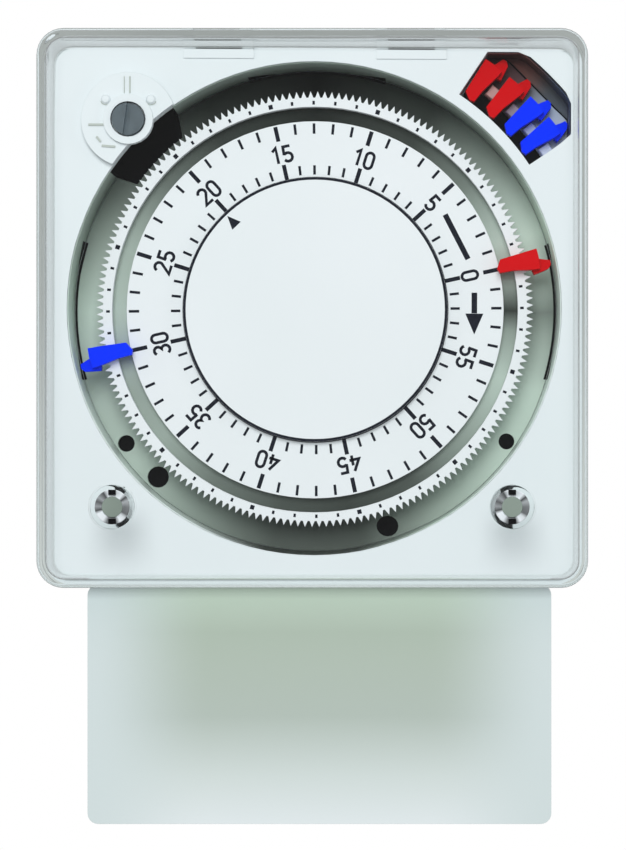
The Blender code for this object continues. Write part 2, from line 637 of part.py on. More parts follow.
def dial(axis):
    outline = []
    pitch = 360 / DIAL_TEETH
    for tooth in range(DIAL_TEETH):
        middle = ZERO_MARK + pitch * tooth
        for reach, offset in ((TOOTH_ROOT, -TOOTH_FOOT), (TOOTH_TIP, 0.0), (TOOTH_ROOT, TOOTH_FOOT)):
            outline.append(polar(reach, middle + offset * pitch))
    ring = plate("dial_ring", [outline, circle(RING_INNER, FULL_SIDES)], DIAL_BACK, DIAL_FACE, "dial_white")
    scale = washer("scale_disc", SCALE_RADIUS, 21 * MM, DIAL_BACK, DIAL_FACE - 0.4 * MM,
                   finish="dial_white", sides=FULL_SIDES)
    radius, back, front = DIAL_PLATE
    carrier = washer("dial_plate", radius, 5.0 * MM, back, front, finish="dial_metal", sides=64)
    flange = 35.2 * MM
    hub = turned("dial_hub", [(8.5 * MM, back - GAP), (8.5 * MM, flange), (4.6 * MM, flange),
                              (4.6 * MM, 14.2 * MM), (2.4 * MM, 14.2 * MM), (2.4 * MM, back - GAP)],
                 finish="brass")
    wheel = gear("dial_gear", DIAL_GEAR_TEETH, DIAL_MODULE, MIDDLE_DIRECTION, 4.9 * MM,
                 25.2 * MM, 26.8 * MM, (0.0, 0.0), "brass")
    spring = friction_spring()
    on = tripper("tripper_on", ZERO_MARK, 0.0, "red")
    off = tripper("tripper_off", ZERO_MARK + HALF_TURN, 0.0, "blue", mirrored=True)
    hang(axis, ring, scale, carrier, hub, wheel, spring, on, off)


def friction_spring():
    """Three-armed spring that drives the dial and lets it be set by hand."""
    spring = washer("friction_spring", 7.0 * MM, 4.9 * MM, 27.1 * MM, 27.5 * MM, finish="steel")
    for arm in range(3):
        middle = 90 + 120 * arm
        join(spring, plate(f"spring_arm_{arm}", [sector(6.6 * MM, 14 * MM, middle - 9, middle + 9, 2)],
                           27.11 * MM, 27.49 * MM))
    return spring


def tripper(name, angle, outward, finish, mirrored=False):
    """Plug-in tripper: a wedge-shaped top, a stem in the dial's groove and a tail below."""
    def placed(outline):
        points = [(x * MM + outward, (-y if mirrored else y) * MM) for x, y in outline]
        return points[::-1] if mirrored else points

    low = DIAL_FACE + TAIL_HEIGHT
    piece = plate(name, [placed(TRIPPER_TOP)], DIAL_FACE + GAP, DIAL_FACE + TRIPPER_HEIGHT, finish)
    tail = plate(name + "_tail", [placed(TRIPPER_TAIL)], DIAL_BACK, low)
    stem = block(name + "_stem", (35.9 * MM + outward, -0.7 * MM, DIAL_BACK),
                 (37.9 * MM + outward, 0.7 * MM, low))
    join(piece, tail, stem)
    for shape in (piece, tail, stem):
        turn_about(shape, angle)
    return piece


def centre_disc():
    """Fixed disc in front of the dial, on the post that the dial turns about."""
    rod("centre_disc", CENTRE_RADIUS, DIAL_FACE + GAP, DIAL_FACE + 1.1 * MM, finish="dial_white",
        sides=FULL_SIDES)
    rod("centre_post", 2.0 * MM, REAR_PLATE[1] + GAP, DIAL_FACE, finish="steel", sides=24)


# Movement.

def movement_plates():
    rear = plate("rear_movement_plate", [rectangle(-38 * MM, -63 * MM, 40 * MM, 41 * MM, 3 * MM)],
                 *REAR_PLATE, "steel")
    front = rod("front_movement_plate", LEDGE_RADIUS - 0.5 * MM, *FRONT_PLATE, finish="steel", sides=64)
    cut(front, rod("hub_hole", 5.2 * MM, FRONT_PLATE[0] - OVERCUT, FRONT_PLATE[1] + OVERCUT))
    window = sector(WINDOW_INNER - 1.5 * MM, LEDGE_RADIUS + OVERCUT, *WINDOW_ANGLES)
    cut(front, plate("plate_window", [window], FRONT_PLATE[0] - OVERCUT, FRONT_PLATE[1] + OVERCUT))
    for plate_piece, (back, high) in ((rear, REAR_PLATE), (front, FRONT_PLATE)):
        cut(plate_piece, rod(f"pivot_hole_{plate_piece.name}", 1.1 * MM, back - OVERCUT, high + OVERCUT,
                             MIDDLE, sides=SMALL_SIDES))
    cut(rear, rod("switch_pivot_hole", 1.3 * MM, REAR_PLATE[0] - OVERCUT, REAR_PLATE[1] + OVERCUT,
                  SWITCH, sides=SMALL_SIDES))
    for index, spot in enumerate((polar(37 * MM, 15), polar(37 * MM, 165), polar(37 * MM, 205),
                                  polar(37 * MM, 335))):
        rod(f"movement_pillar_{index + 1}", 2.2 * MM, REAR_PLATE[1] + GAP, FRONT_PLATE[0] - GAP, spot,
            "steel", SMALL_SIDES)


def gear_train():
    middle_axis = pivot("intermediate_axis", (*MIDDLE, 0.0))
    middle_gear = gear("intermediate_gear", MIDDLE_GEAR_TEETH, MOTOR_MODULE, MOTOR_DIRECTION, 1.3 * MM,
                       22.6 * MM, 24.0 * MM, MIDDLE, "brass")
    phase = MIDDLE_DIRECTION + 180 + 180 / PINION_TEETH
    pinion = gear("intermediate_pinion", PINION_TEETH, DIAL_MODULE, phase, 1.3 * MM,
                  24.6 * MM, 27.4 * MM, MIDDLE, "steel", 2)
    arbor = turned("intermediate_arbor", [(0.0, 29.2 * MM), (0.7 * MM, 29.2 * MM), (0.7 * MM, 28.0 * MM),
                                          (1.0 * MM, 28.0 * MM), (1.0 * MM, 13.3 * MM), (0.7 * MM, 13.3 * MM),
                                          (0.7 * MM, 12.0 * MM), (0.0, 12.0 * MM)],
                   MIDDLE, "steel", SMALL_SIDES)
    hang(middle_axis, middle_gear, pinion, arbor)
    motor_axis = pivot("motor_axis", (*MOTOR, 0.0))
    phase = MOTOR_DIRECTION + 180 + 180 / PINION_TEETH
    motor_gear = gear("motor_pinion", PINION_TEETH, MOTOR_MODULE, phase, 1.0 * MM,
                      22.0 * MM, 24.4 * MM, MOTOR, "brass", 2)
    motor_shaft = rod("motor_shaft", 0.7 * MM, 20.6 * MM, 25.0 * MM, MOTOR, "steel", SMALL_SIDES)
    hang(motor_axis, motor_gear, motor_shaft)


def motor():
    """Synchronous motor with its reduction gears sealed in, and the clamp plate that holds it."""
    can = rod("motor_can", MOTOR_RADIUS, REAR_PLATE[1] + GAP, 19.4 * MM, MOTOR_CENTRE, "steel", 32)
    plate_back, plate_front = 19.7 * MM, 20.7 * MM
    ears = around(MOTOR_CENTRE, 46 * MM, 12 * MM, 4 * MM)
    flange = plate("motor_flange", [ears], plate_back, plate_front, "steel")
    for target, back, front in ((can, 18 * MM, 21 * MM), (flange, 19 * MM, 22 * MM)):
        cut(target, rod(f"shaft_relief_{target.name}", 1.2 * MM, back, front, MOTOR, sides=SMALL_SIDES))


# Manual switch, star wheel and microswitch.

def manual_switch():
    axis = pivot("switch_axis", (*SWITCH, 0.0))
    head_front = 46.9 * MM
    profile = [(0.0, head_front), (SCREW_HEAD_RADIUS, head_front), (SCREW_HEAD_RADIUS, 45.0 * MM),
               (SHAFT_RADIUS, 45.0 * MM), (SHAFT_RADIUS, 13.2 * MM), (1.0 * MM, 13.2 * MM),
               (1.0 * MM, 11.9 * MM), (0.0, 11.9 * MM)]
    shaft = turned("manual_switch_shaft", profile, SWITCH, "grey")
    slot = block("driver_slot", (SWITCH[0] - 0.55 * MM, SWITCH[1] - 4 * MM, head_front - 1.0 * MM),
                 (SWITCH[0] + 0.55 * MM, SWITCH[1] + 4 * MM, head_front + OVERCUT))
    turn_about(slot, -8, SWITCH)
    cut(shaft, slot)
    bore = SHAFT_RADIUS + GAP
    star = plate("star_wheel", [star_outline(4, STAR_POINT, 3.0 * MM, SWITCH_ANGLE + 180 + 45),
                                circle(bore, SMALL_SIDES, SWITCH)], 37.6 * MM, 39.6 * MM, "black")
    cam = plate("switch_cam", [star_outline(2, 4.3 * MM, 3.0 * MM, 90.0),
                               circle(bore, SMALL_SIDES, SWITCH)], 16.0 * MM, 19.4 * MM, "black")
    hang(axis, shaft, star, cam)


def star_outline(points, outer, inner, phase):
    """Outline about the switch's axis, with rounded lobes between an inner and an outer radius."""
    outline = []
    steps = 8 * points
    for index in range(steps):
        angle = phase + 360 * index / steps
        wave = (1 + math.cos(math.radians(points * (angle - phase)))) / 2
        outline.append(shift(SWITCH, inner + (outer - inner) * wave ** 2, angle))
    return outline


def switch_bezel():
    """Raised disc around the manual switch, cut away where the dial's recess begins."""
    bezel = plate("switch_bezel", [circle(BEZEL_RADIUS, 48, SWITCH)], PLATE_FACE + GAP,
                  PLATE_FACE + 1.6 * MM, "case_white")
    cut(bezel, rod("bezel_clearance", RECESS_RADIUS, PLATE_FACE, PLATE_FACE + 3 * MM, sides=FULL_SIDES))
    join(bezel, rod("bezel_collar", COLLAR_RADIUS, PLATE_FACE + GAP + 0.01 * MM, PLATE_FACE + 2.4 * MM, SWITCH))
    cut(bezel, rod("bezel_bore", SCREW_HEAD_RADIUS + GAP, PLATE_FACE, PLATE_FACE + 3 * MM, SWITCH))


def star_carrier():
    """Black bearing plate that shows in the window under the star wheel."""
    start, end = WINDOW_ANGLES
    low, high = start + 0.4, end - 0.4
    outline = (arc(CARRIER_REACH, low, high, 8) + [polar(RECESS_RADIUS, high)]
               + arc(WINDOW_INNER + 0.4 * MM, end - 1.7, start + 2.7, 8) + [polar(RECESS_RADIUS, low)])
    carrier = plate("star_carrier", [outline, circle(SHAFT_RADIUS + GAP, SMALL_SIDES, SWITCH)],
                    29.9 * MM, 31.2 * MM, "black")
    side = BASE_LEFT + BASE_WALL + GAP
    cut(carrier, block("carrier_side", (side - 10 * MM, 0.0, HEAD_BACK), (side, HEAD_TOP, PLATE_FACE)))


def microswitch():
    x, y = SWITCH
    left, right = x + 7.1 * MM, x + 23.1 * MM
    body = block("microswitch_case", (left, y - 4.5 * MM, 14.5 * MM), (right, y + 4.5 * MM, 21 * MM), "black")
    middle = (y, 17.7 * MM)
    cut(body, rod("plunger_bore", 1.3 * MM, left - OVERCUT, left + 3.6 * MM, middle, sides=SMALL_SIDES,
                  along="x"))
    plunger = rod("switch_plunger", 1.0 * MM, left - 2.3 * MM, left + 2.6 * MM, middle, "red",
                  SMALL_SIDES, "x")
    hang(pivot("plunger_slide", (left, *middle)), plunger)
    for index in range(3):
        low = y - 3.4 * MM + index * 2.8 * MM
        block(f"switch_terminal_{index + 1}", (right + GAP, low, 16.2 * MM),
              (right + 5 * MM, low + 1.2 * MM, 19.2 * MM), "brass")


# Spare trippers.

def spare_rack():
    floor = RACK_FLOOR + GAP
    rack = plate("spare_rack", [rack_outline(-GAP)], floor, floor + 0.5 * MM, "black")
    angles = sorted(SPARE_ANGLES.values())
    gaps = [a + 0.55 * (b - a) for a, b in zip(angles, angles[1:])]
    for index, angle in enumerate([angles[0] - 2.6] + gaps):
        tooth = sector(51.2 * MM, 53.4 * MM, angle - 0.5, angle + 0.5, 1)
        join(rack, plate(f"rack_tooth_{index}", [tooth], floor + 0.01 * MM, PLATE_FACE - 0.8 * MM))
    for name, angle in SPARE_ANGLES.items():
        tripper(f"spare_tripper_{name}", angle, SPARE_SHIFT, "red" if name.startswith("on") else "blue")


# Terminals.

def terminals():
    low, high = POLE_CENTRES[0] - 8 * MM, POLE_CENTRES[-1] + 8 * MM
    base = block("terminal_block", (low, BLOCK_BOTTOM, BLOCK_BACK), (high, BLOCK_TOP, BLOCK_FRONT), "grey")
    screw_height = BLOCK_BOTTOM + 11 * MM
    for index, x in enumerate(POLE_CENTRES):
        number = index + 1
        chamber = (BLOCK_BACK + 3 * MM, BLOCK_BACK + 10 * MM)
        cut(base, block(f"wire_chamber_{number}", (x - 3.6 * MM, BLOCK_BOTTOM - OVERCUT, chamber[0]),
                        (x + 3.6 * MM, BLOCK_BOTTOM + 16 * MM, chamber[1])))
        cut(base, rod(f"screw_well_{number}", 3.4 * MM, chamber[1] - OVERCUT, BLOCK_FRONT + OVERCUT,
                      (x, screw_height), sides=SMALL_SIDES))
        clamp = block(f"terminal_clamp_{number}", (x - 3.2 * MM, screw_height - 3.2 * MM, chamber[0] + 0.4 * MM),
                      (x + 3.2 * MM, screw_height + 3.2 * MM, chamber[1] - 0.4 * MM), "brass")
        cut(clamp, block(f"clamp_mouth_{number}", (x - 2.2 * MM, screw_height - 4 * MM, chamber[0] + 1.4 * MM),
                         (x + 2.2 * MM, screw_height + 4 * MM, chamber[1] - 2 * MM)))
        head_back, head_front = chamber[1] + 2.2 * MM, chamber[1] + 4.4 * MM
        profile = [(0.0, head_front), (2.9 * MM, head_front), (2.9 * MM, head_back), (1.6 * MM, head_back),
                   (1.6 * MM, chamber[1]), (0.0, chamber[1])]
        screw = turned(f"terminal_screw_{number}", profile, (x, screw_height), "steel", SMALL_SIDES)
        slot = block(f"terminal_slot_{number}", (x - 3.2 * MM, screw_height - 0.45 * MM, head_front - 0.9 * MM),
                     (x + 3.2 * MM, screw_height + 0.45 * MM, head_front + OVERCUT))
        turn_about(slot, 25 + 40 * index, (x, screw_height))
        cut(screw, slot)


def build():
    base_housing()
    head_housing()
    recess_plate()
    dial(pivot("dial_axis", (0.0, 0.0, 0.0)))
    centre_disc()
    movement_plates()
    gear_train()
    motor()
    manual_switch()
    switch_bezel()
    star_carrier()
    microswitch()
    spare_rack()
    terminals()
    clear_hood()
    hinge_pins()
    terminal_cover()
    rail_latch()


for old in list(bpy.data.objects):
    bpy.data.objects.remove(old)

parts = bpy.data.collections.new("programmable_timer")
cutters = bpy.data.collections.new("cutters")
for group in (parts, cutters):
    bpy.context.scene.collection.children.link(group)

frame = bpy.data.objects.new("mounting_frame", None)
frame.rotation_euler = (math.radians(90), 0.0, 0.0)
parts.objects.link(frame)

build()
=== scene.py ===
"""Looks of the programmable timer: moulded case, clear hood, spun metal dish and printed dial.

Lengths are in millimetres. A place is (x, y, depth): x to the right, y up, depth out from the wall.
"""
import json
import math

import bmesh
import bpy
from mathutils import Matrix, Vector


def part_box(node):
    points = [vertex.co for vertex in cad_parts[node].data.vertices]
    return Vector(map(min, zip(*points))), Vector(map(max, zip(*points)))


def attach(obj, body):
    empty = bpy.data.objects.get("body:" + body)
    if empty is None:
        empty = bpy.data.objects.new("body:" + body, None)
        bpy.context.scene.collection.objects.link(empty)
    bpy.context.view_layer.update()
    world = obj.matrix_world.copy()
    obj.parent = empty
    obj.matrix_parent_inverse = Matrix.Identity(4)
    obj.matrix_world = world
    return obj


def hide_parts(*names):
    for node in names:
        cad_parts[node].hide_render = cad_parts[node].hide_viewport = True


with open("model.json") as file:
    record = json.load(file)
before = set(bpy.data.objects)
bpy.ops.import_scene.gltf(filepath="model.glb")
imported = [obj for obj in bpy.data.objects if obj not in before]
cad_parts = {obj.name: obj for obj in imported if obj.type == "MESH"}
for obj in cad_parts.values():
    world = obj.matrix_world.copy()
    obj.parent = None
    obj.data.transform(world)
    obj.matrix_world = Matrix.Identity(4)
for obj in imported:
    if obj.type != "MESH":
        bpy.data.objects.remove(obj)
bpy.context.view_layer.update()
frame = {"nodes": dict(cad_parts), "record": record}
NODES = frame["nodes"]
MM = 0.001
SMOOTH_ANGLE = math.radians(35)


def left(node):
    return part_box(node)[0][0] / MM


def right(node):
    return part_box(node)[1][0] / MM


def bottom(node):
    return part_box(node)[0][2] / MM


def top(node):
    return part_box(node)[1][2] / MM


def front(node):
    return -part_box(node)[0][1] / MM


def back(node):
    return -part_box(node)[1][1] / MM


def polar(radius, degrees, centre=(0.0, 0.0)):
    angle = math.radians(degrees)
    return centre[0] + radius * math.cos(angle), centre[1] + radius * math.sin(angle)


# Sizes taken from the frame
RECESS_RADIUS = right("recess_plate") + 0.3
FLOOR = front("recess_plate")
PLATE = front("head_housing")
RING_FACE = front("dial_ring")
SCALE_FACE = front("scale_disc")
CENTRE_FACE = front("centre_disc")
CENTRE_RADIUS = right("centre_disc")
HOOD_FACE = front("clear_hood")
HOOD_BACK = PLATE + 0.3
HOOD_LEFT, HOOD_RIGHT = left("clear_hood"), right("clear_hood")
HOOD_BOTTOM, HOOD_TOP = bottom("clear_hood"), top("head_housing")
HOOD_CORNER = 4.9
HOOD_WALL = 1.5
HOOD_GLAZING = 1.8
COVER_FACE = front("terminal_cover")

# The dial's scale; directions are in degrees, counter-clockwise from the right
ZERO_MARK = 12.65
MARKS = 60
MARK_STEP = 360 / MARKS
NUMBERED = 5                 # minutes from one number to the next
INK = 0.03                   # half the thickness of a print
# Marks as inner radius, outer radius and width
RING_MARK, RING_LONG = (38.6, 39.3, 0.46), (38.55, 39.4, 0.8)
OUTER_MARK, OUTER_LONG = (33.15, 35.1, 0.5), (32.4, 35.2, 0.76)
INNER_MARK, INNER_LONG = (25.45, 27.2, 0.48), (25.0, 27.9, 0.76)
NUMBER_RADIUS = 29.8
NUMBER_STROKE = 0.54
NUMBER_SPACING = 2.3

# The recess: its window for the star wheel, its snap slots and the holes of its floor
WINDOW_ANGLES = (125.4, 146.5)
SLOT_CENTRES = (0.0, 90.0, 180.0)
SLOT_HALF = 16.5             # degrees from a slot's middle to its end
SLOT_START = 9.5             # degrees from its middle to where the wall begins to rise from the floor
SLOT_OPENING = 4.4           # how far the wall has risen at its end
FLOOR_HOLES = ((44.0, 214.9, 1.6), (43.5, 226.5, 2.05), (43.4, 288.7, 2.1), (44.1, 325.9, 1.55))

# The manual switch
SWITCH = polar(49.3, 134.8)
DOMES = [(SWITCH[0] + side * 4.2, SWITCH[1] + 3.7) for side in (-1, 1)]
BEZEL_FACE = front("switch_bezel") - 0.85   # its flat part, below the collar

# The rack's pocket: its ends, its straight outer walls, and radii from its mouth outwards
RACK_ANGLES = (34.0, 56.2)
RACK_DIAGONAL = 45.0
RACK_EDGE = 48.1
RACK_BACK = back("spare_rack")
RACK_START = 48.65
RACK_STEP = 51.6             # foot of the teeth
RACK_LINE = 59.0             # line across the floor
RACK_WALL = 62.0
RACK_TEETH = (34.95, 40.2, 45.5, 51.0)

# The hood's locks and the bodies they turn with
LOCKS = {"hood_lock_left": "lock_left", "hood_lock_right": "lock_right"}


# Points, outlines and meshes

def at(x, y, depth):
    return Vector((x * MM, -depth * MM, y * MM))


def arc(radius, start, end, steps, centre=(0.0, 0.0)):
    """Points of a circle's arc between two directions in degrees."""
    return [polar(radius, start + (end - start) * index / steps, centre) for index in range(steps + 1)]


def circle(radius, sides, centre=(0.0, 0.0)):
    return arc(radius, 0, 360, sides, centre)[:-1]


def rounded(x0, y0, x1, y1, radius, steps=6):
    """Rectangle with round corners, counter-clockwise."""
    left_x, right_x, low_y, high_y = x0 + radius, x1 - radius, y0 + radius, y1 - radius
    centres = ((right_x, high_y), (left_x, high_y), (left_x, low_y), (right_x, low_y))
    points = []
    for quarter, centre in enumerate(centres):
        points += arc(radius, 90 * quarter, 90 * quarter + 90, steps, centre)
    return points


def add_loops(mesh, rings):
    """Vertices of rings of (x, y, depth) points."""
    return [[mesh.verts.new(at(*point)) for point in ring] for ring in rings]


def join(mesh, one, other):
    """Faces between two loops of as many vertices."""
    for index in range(len(one)):
        after = (index + 1) % len(one)
        mesh.faces.new((one[index], one[after], other[after], other[index]))


def skin(mesh, rings, around=False):
    """Joins rings with faces, and closes the ends or, around, joins the last ring to the first."""
    loops = add_loops(mesh, rings)
    for one, other in zip(loops, loops[1:]):
        join(mesh, one, other)
    if around:
        join(mesh, loops[-1], loops[0])
    else:
        mesh.faces.new(loops[0][::-1])
        mesh.faces.new(loops[-1])


def ring_at(outline, depth):
    return [(x, y, depth) for x, y in outline]


def slab(mesh, outline, low, high):
    """A flat piece with this outline between two depths."""
    skin(mesh, [ring_at(outline, low), ring_at(outline, high)])


def lathe(mesh, profile, centre=(0.0, 0.0), sides=96, solid=False):
    """Turns (radius, depth) points about an axis along depth.

    A solid profile starts and ends near the axis, and a hollow one is closed in itself.
    """
    rings = [ring_at(circle(radius, sides, centre), depth) for radius, depth in profile]
    skin(mesh, rings, around=not solid)


def stroke(path, width, closed=False):
    """Left and right edges of a pen stroke along a path."""
    one_side, other_side = [], []
    count = len(path)
    for index, (x, y) in enumerate(path):
        before = path[(index - 1) % count] if closed or index else None
        after = path[(index + 1) % count] if closed or index < count - 1 else None
        directions = []
        if before:
            directions.append(Vector((x - before[0], y - before[1])).normalized())
        if after:
            directions.append(Vector((after[0] - x, after[1] - y)).normalized())
        along = sum(directions, Vector((0.0, 0.0))).normalized()
        reach = width / 2 / max(along.dot(directions[0]), 0.5)
        one_side.append((x - along.y * reach, y + along.x * reach))
        other_side.append((x + along.y * reach, y - along.x * reach))
    return one_side, other_side


def draw(mesh, path, width, low, high, closed=False):
    """A pen stroke as a thin solid between two depths."""
    one_side, other_side = stroke(path, width, closed)
    section = [[(*a, low), (*b, low), (*b, high), (*a, high)] for a, b in zip(one_side, other_side)]
    skin(mesh, section, around=closed)


def shape(name, make):
    """Mesh data of what make draws, its faces turned outwards."""
    mesh = bmesh.new()
    make(mesh)
    bmesh.ops.recalc_face_normals(mesh, faces=mesh.faces)
    data = bpy.data.meshes.new(name)
    mesh.to_mesh(data)
    mesh.free()
    return data


def add_object(name, data):
    thing = bpy.data.objects.new(name, data)
    bpy.context.scene.collection.objects.link(thing)
    return thing


def build(name, make, finish, body, replaces=()):
    """Makes a piece in place, gives it its material and lets it ride on its body."""
    data = shape(name, make)
    data.shade_smooth()
    data.set_sharp_from_angle(angle=SMOOTH_ANGLE)
    piece = add_object(name, data)
    data.materials.append(finish)
    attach(piece, body)
    if replaces:
        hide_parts(*replaces)
    return piece


def carve(piece, make):
    """Cuts a shape out of a piece."""
    cutter = add_object("cutter", shape("cutter", make))
    boolean = piece.modifiers.new("cut", "BOOLEAN")
    boolean.object = cutter
    boolean.solver = "EXACT"
    bpy.context.view_layer.update()
    depsgraph = bpy.context.evaluated_depsgraph_get()
    result = bpy.data.meshes.new_from_object(piece.evaluated_get(depsgraph))
    piece.modifiers.remove(boolean)
    piece.data = result
    bpy.data.objects.remove(cutter)
    result.set_sharp_from_angle(angle=SMOOTH_ANGLE)


# Materials

class Nodes:
    """A material being wired, with short calls for the nodes used here."""

    def __init__(self, name):
        self.material = bpy.data.materials.new(name)
        self.material.use_nodes = True
        self.tree = self.material.node_tree
        self.tree.nodes.clear()
        self.output = self.add("OutputMaterial")
        self.place = self.add("TexCoord").outputs["Object"]

    def add(self, kind, **values):
        node = self.tree.nodes.new("ShaderNode" + kind)
        for key, value in values.items():
            setattr(node, key, value)
        return node

    def link(self, source, target):
        self.tree.links.new(source, target)

    def noise(self, per_mm, detail=3.0):
        node = self.add("TexNoise")
        node.inputs["Scale"].default_value = per_mm / MM
        node.inputs["Detail"].default_value = detail
        self.link(self.place, node.inputs["Vector"])
        return node.outputs["Fac"]

    def shades(self, source, *stops):
        """Colour ramp over source from (position, colour) stops."""
        node = self.add("ValToRGB")
        ramp = node.color_ramp
        ramp.elements[0].position, ramp.elements[1].position = stops[0][0], stops[-1][0]
        ramp.elements[0].color, ramp.elements[1].color = (*stops[0][1], 1), (*stops[-1][1], 1)
        for position, colour in stops[1:-1]:
            ramp.elements.new(position).color = (*colour, 1)
        self.link(source, node.inputs["Fac"])
        return node.outputs["Color"]

    def range(self, source, low, high):
        """Maps 0 to 1 onto low to high."""
        node = self.add("MapRange")
        node.inputs["To Min"].default_value = low
        node.inputs["To Max"].default_value = high
        self.link(source, node.inputs["Value"])
        return node.outputs["Result"]

    def bump(self, height, distance, edge=0.0):
        """Relief of a height in mm and, with an edge in mm, corners that look rounded."""
        node = self.add("Bump")
        node.inputs["Distance"].default_value = distance * MM
        self.link(height, node.inputs["Height"])
        if edge:
            rounded_edge = self.add("Bevel", samples=4)
            rounded_edge.inputs["Radius"].default_value = edge * MM
            self.link(rounded_edge.outputs["Normal"], node.inputs["Normal"])
        return node.outputs["Normal"]

    def principled(self, **values):
        node = self.add("BsdfPrincipled")
        for key, value in values.items():
            node.inputs[key.replace("_", " ")].default_value = value
        self.link(node.outputs["BSDF"], self.output.inputs["Surface"])
        return node


def scaled(colour, factor):
    return tuple(min(1.0, channel * factor) for channel in colour)


def moulded(name, colour, roughness, grain=0.006, variation=0.04, gloss=0.5, edge=0.12):
    """Moulded plastic: faint flow mottling, a fine spark-eroded grain and soft edges."""
    nodes = Nodes(name)
    surface = nodes.principled(Roughness=roughness, IOR=1.5, Specular_IOR_Level=gloss)
    flow = nodes.noise(0.035, detail=4)
    nodes.link(nodes.shades(flow, (0.3, scaled(colour, 1 - variation)), (0.5, colour),
                            (0.7, scaled(colour, 1 + variation))), surface.inputs["Base Color"])
    fine = nodes.noise(4.0, detail=2)
    nodes.link(nodes.range(fine, roughness - 0.05, roughness + 0.06), surface.inputs["Roughness"])
    nodes.link(nodes.bump(fine, grain, edge=edge), surface.inputs["Normal"])
    return nodes.material


def metal(name, colour, roughness):
    """Plain rolled or turned metal with faint scratches."""
    nodes = Nodes(name)
    surface = nodes.principled(Metallic=1.0, Roughness=roughness)
    tarnish = nodes.noise(0.3, detail=5)
    nodes.link(nodes.shades(tarnish, (0.3, scaled(colour, 0.86)), (0.7, scaled(colour, 1.06))),
               surface.inputs["Base Color"])
    fine = nodes.noise(3.0, detail=6)
    nodes.link(nodes.range(fine, roughness - 0.06, roughness + 0.1), surface.inputs["Roughness"])
    nodes.link(nodes.bump(fine, 0.004, edge=0.08), surface.inputs["Normal"])
    return nodes.material


# Painted light and shade by direction from a centre: (degrees, lightness or colour), from the right over
# the top.
# The two floors and the wall of the metal dish, their fans of painted reflection:
METAL_TINT = (0.92, 1.08, 0.96)
FLOOR_LIGHT = ((0, 0.3), (6, 0.6), (20, 0.9), (40, 0.44), (60, 0.08), (90, 0.012), (118, 0.05),
               (150, 0.26), (162, 0.48), (180, 0.78), (200, 0.62), (220, 0.68), (240, 0.38),
               (260, 0.17), (282, 0.16), (300, 0.5), (320, 0.76), (340, 0.8), (354, 0.5))
GROOVE_LIGHT = ((0, 0.06), (8, 0.4), (20, 0.66), (40, 0.25), (60, 0.07), (90, 0.025), (120, 0.06),
                (140, 0.2), (160, 0.5), (180, 0.62), (205, 0.45), (220, 0.48), (240, 0.22),
                (260, 0.11), (280, 0.07), (300, 0.12), (320, 0.41), (340, 0.68), (354, 0.4))
WALL_LIGHT = ((0, 1), (20, 0.9), (40, 0.45), (60, 0.45), (90, 0.48), (120, 0.5), (160, 0.55),
              (180, 0.8), (200, 1), (220, 1), (240, 1), (258, 0.05), (280, 0.08), (300, 0.75),
              (320, 1), (340, 1))
# The lines along the outside and the inside of the hood's rim, painted shade and reflection of the clear
# wall seen edge-on:
RIM_TINT = (0.95, 1.0, 0.97)
OUTER_LINE_LIGHT = ((0, 0.42), (40, 0.4), (60, 0.34), (120, 0.34), (140, 0.4), (180, 0.42),
                    (222, 0.6), (270, 0.72), (318, 0.6))
INNER_LINE_LIGHT = ((0, 0.5), (40, 0.6), (50, 0.85), (130, 0.85), (140, 0.6), (180, 0.5),
                    (222, 0.6), (270, 0.75), (318, 0.6))
# Painted glints and shade on a lock's faceted core:
LOCK_TINT = (0.92, 0.96, 1.0)
LOCK_LIGHT = ((0, 0.2), (22, 0.45), (36, 0.06), (50, 0.9), (75, 0.75), (108, 0.9), (122, 0.08),
              (145, 0.4), (160, 0.12), (178, 0.35), (194, 0.07), (206, 0.9), (235, 0.8), (250, 0.2),
              (285, 0.12), (300, 0.85), (318, 0.7), (332, 0.15))
# The rack's pocket, with painted shade and painted reflections of the red and blue spare trippers beside
# them:
RACK_FLOOR_LIGHT = ((0, (0.55, 0.6, 0.64)), (36, (0.55, 0.6, 0.64)), (41, (0.42, 0.5, 0.6)),
                    (45, (0.2, 0.22, 0.25)), (48, (0.1, 0.055, 0.06)), (55, (0.05, 0.02, 0.02)),
                    (90, (0.05, 0.02, 0.02)))
RACK_SHADE_LIGHT = ((0, (0.16, 0.18, 0.21)), (36, (0.13, 0.15, 0.18)), (40, (0.1, 0.12, 0.145)),
                    (44, (0.1, 0.11, 0.115)), (47, (0.16, 0.08, 0.07)), (51, (0.13, 0.045, 0.04)),
                    (55, (0.06, 0.02, 0.02)), (90, (0.06, 0.02, 0.02)))
RACK_WALL_SHADE_LIGHT = ((0, (0.03, 0.045, 0.09)), (40, (0.03, 0.045, 0.09)), (44, (0.03, 0.04, 0.06)),
                     (47, (0.05, 0.02, 0.02)), (51, (0.08, 0.03, 0.03)), (90, (0.06, 0.02, 0.02)))
RACK_TOOTH_LIGHT = ((0, (0.6, 0.65, 0.75)), (36, (0.6, 0.65, 0.75)), (41, (0.36, 0.4, 0.52)),
                    (46, (0.32, 0.25, 0.28)), (52, (0.6, 0.38, 0.36)), (90, (0.6, 0.38, 0.36)))


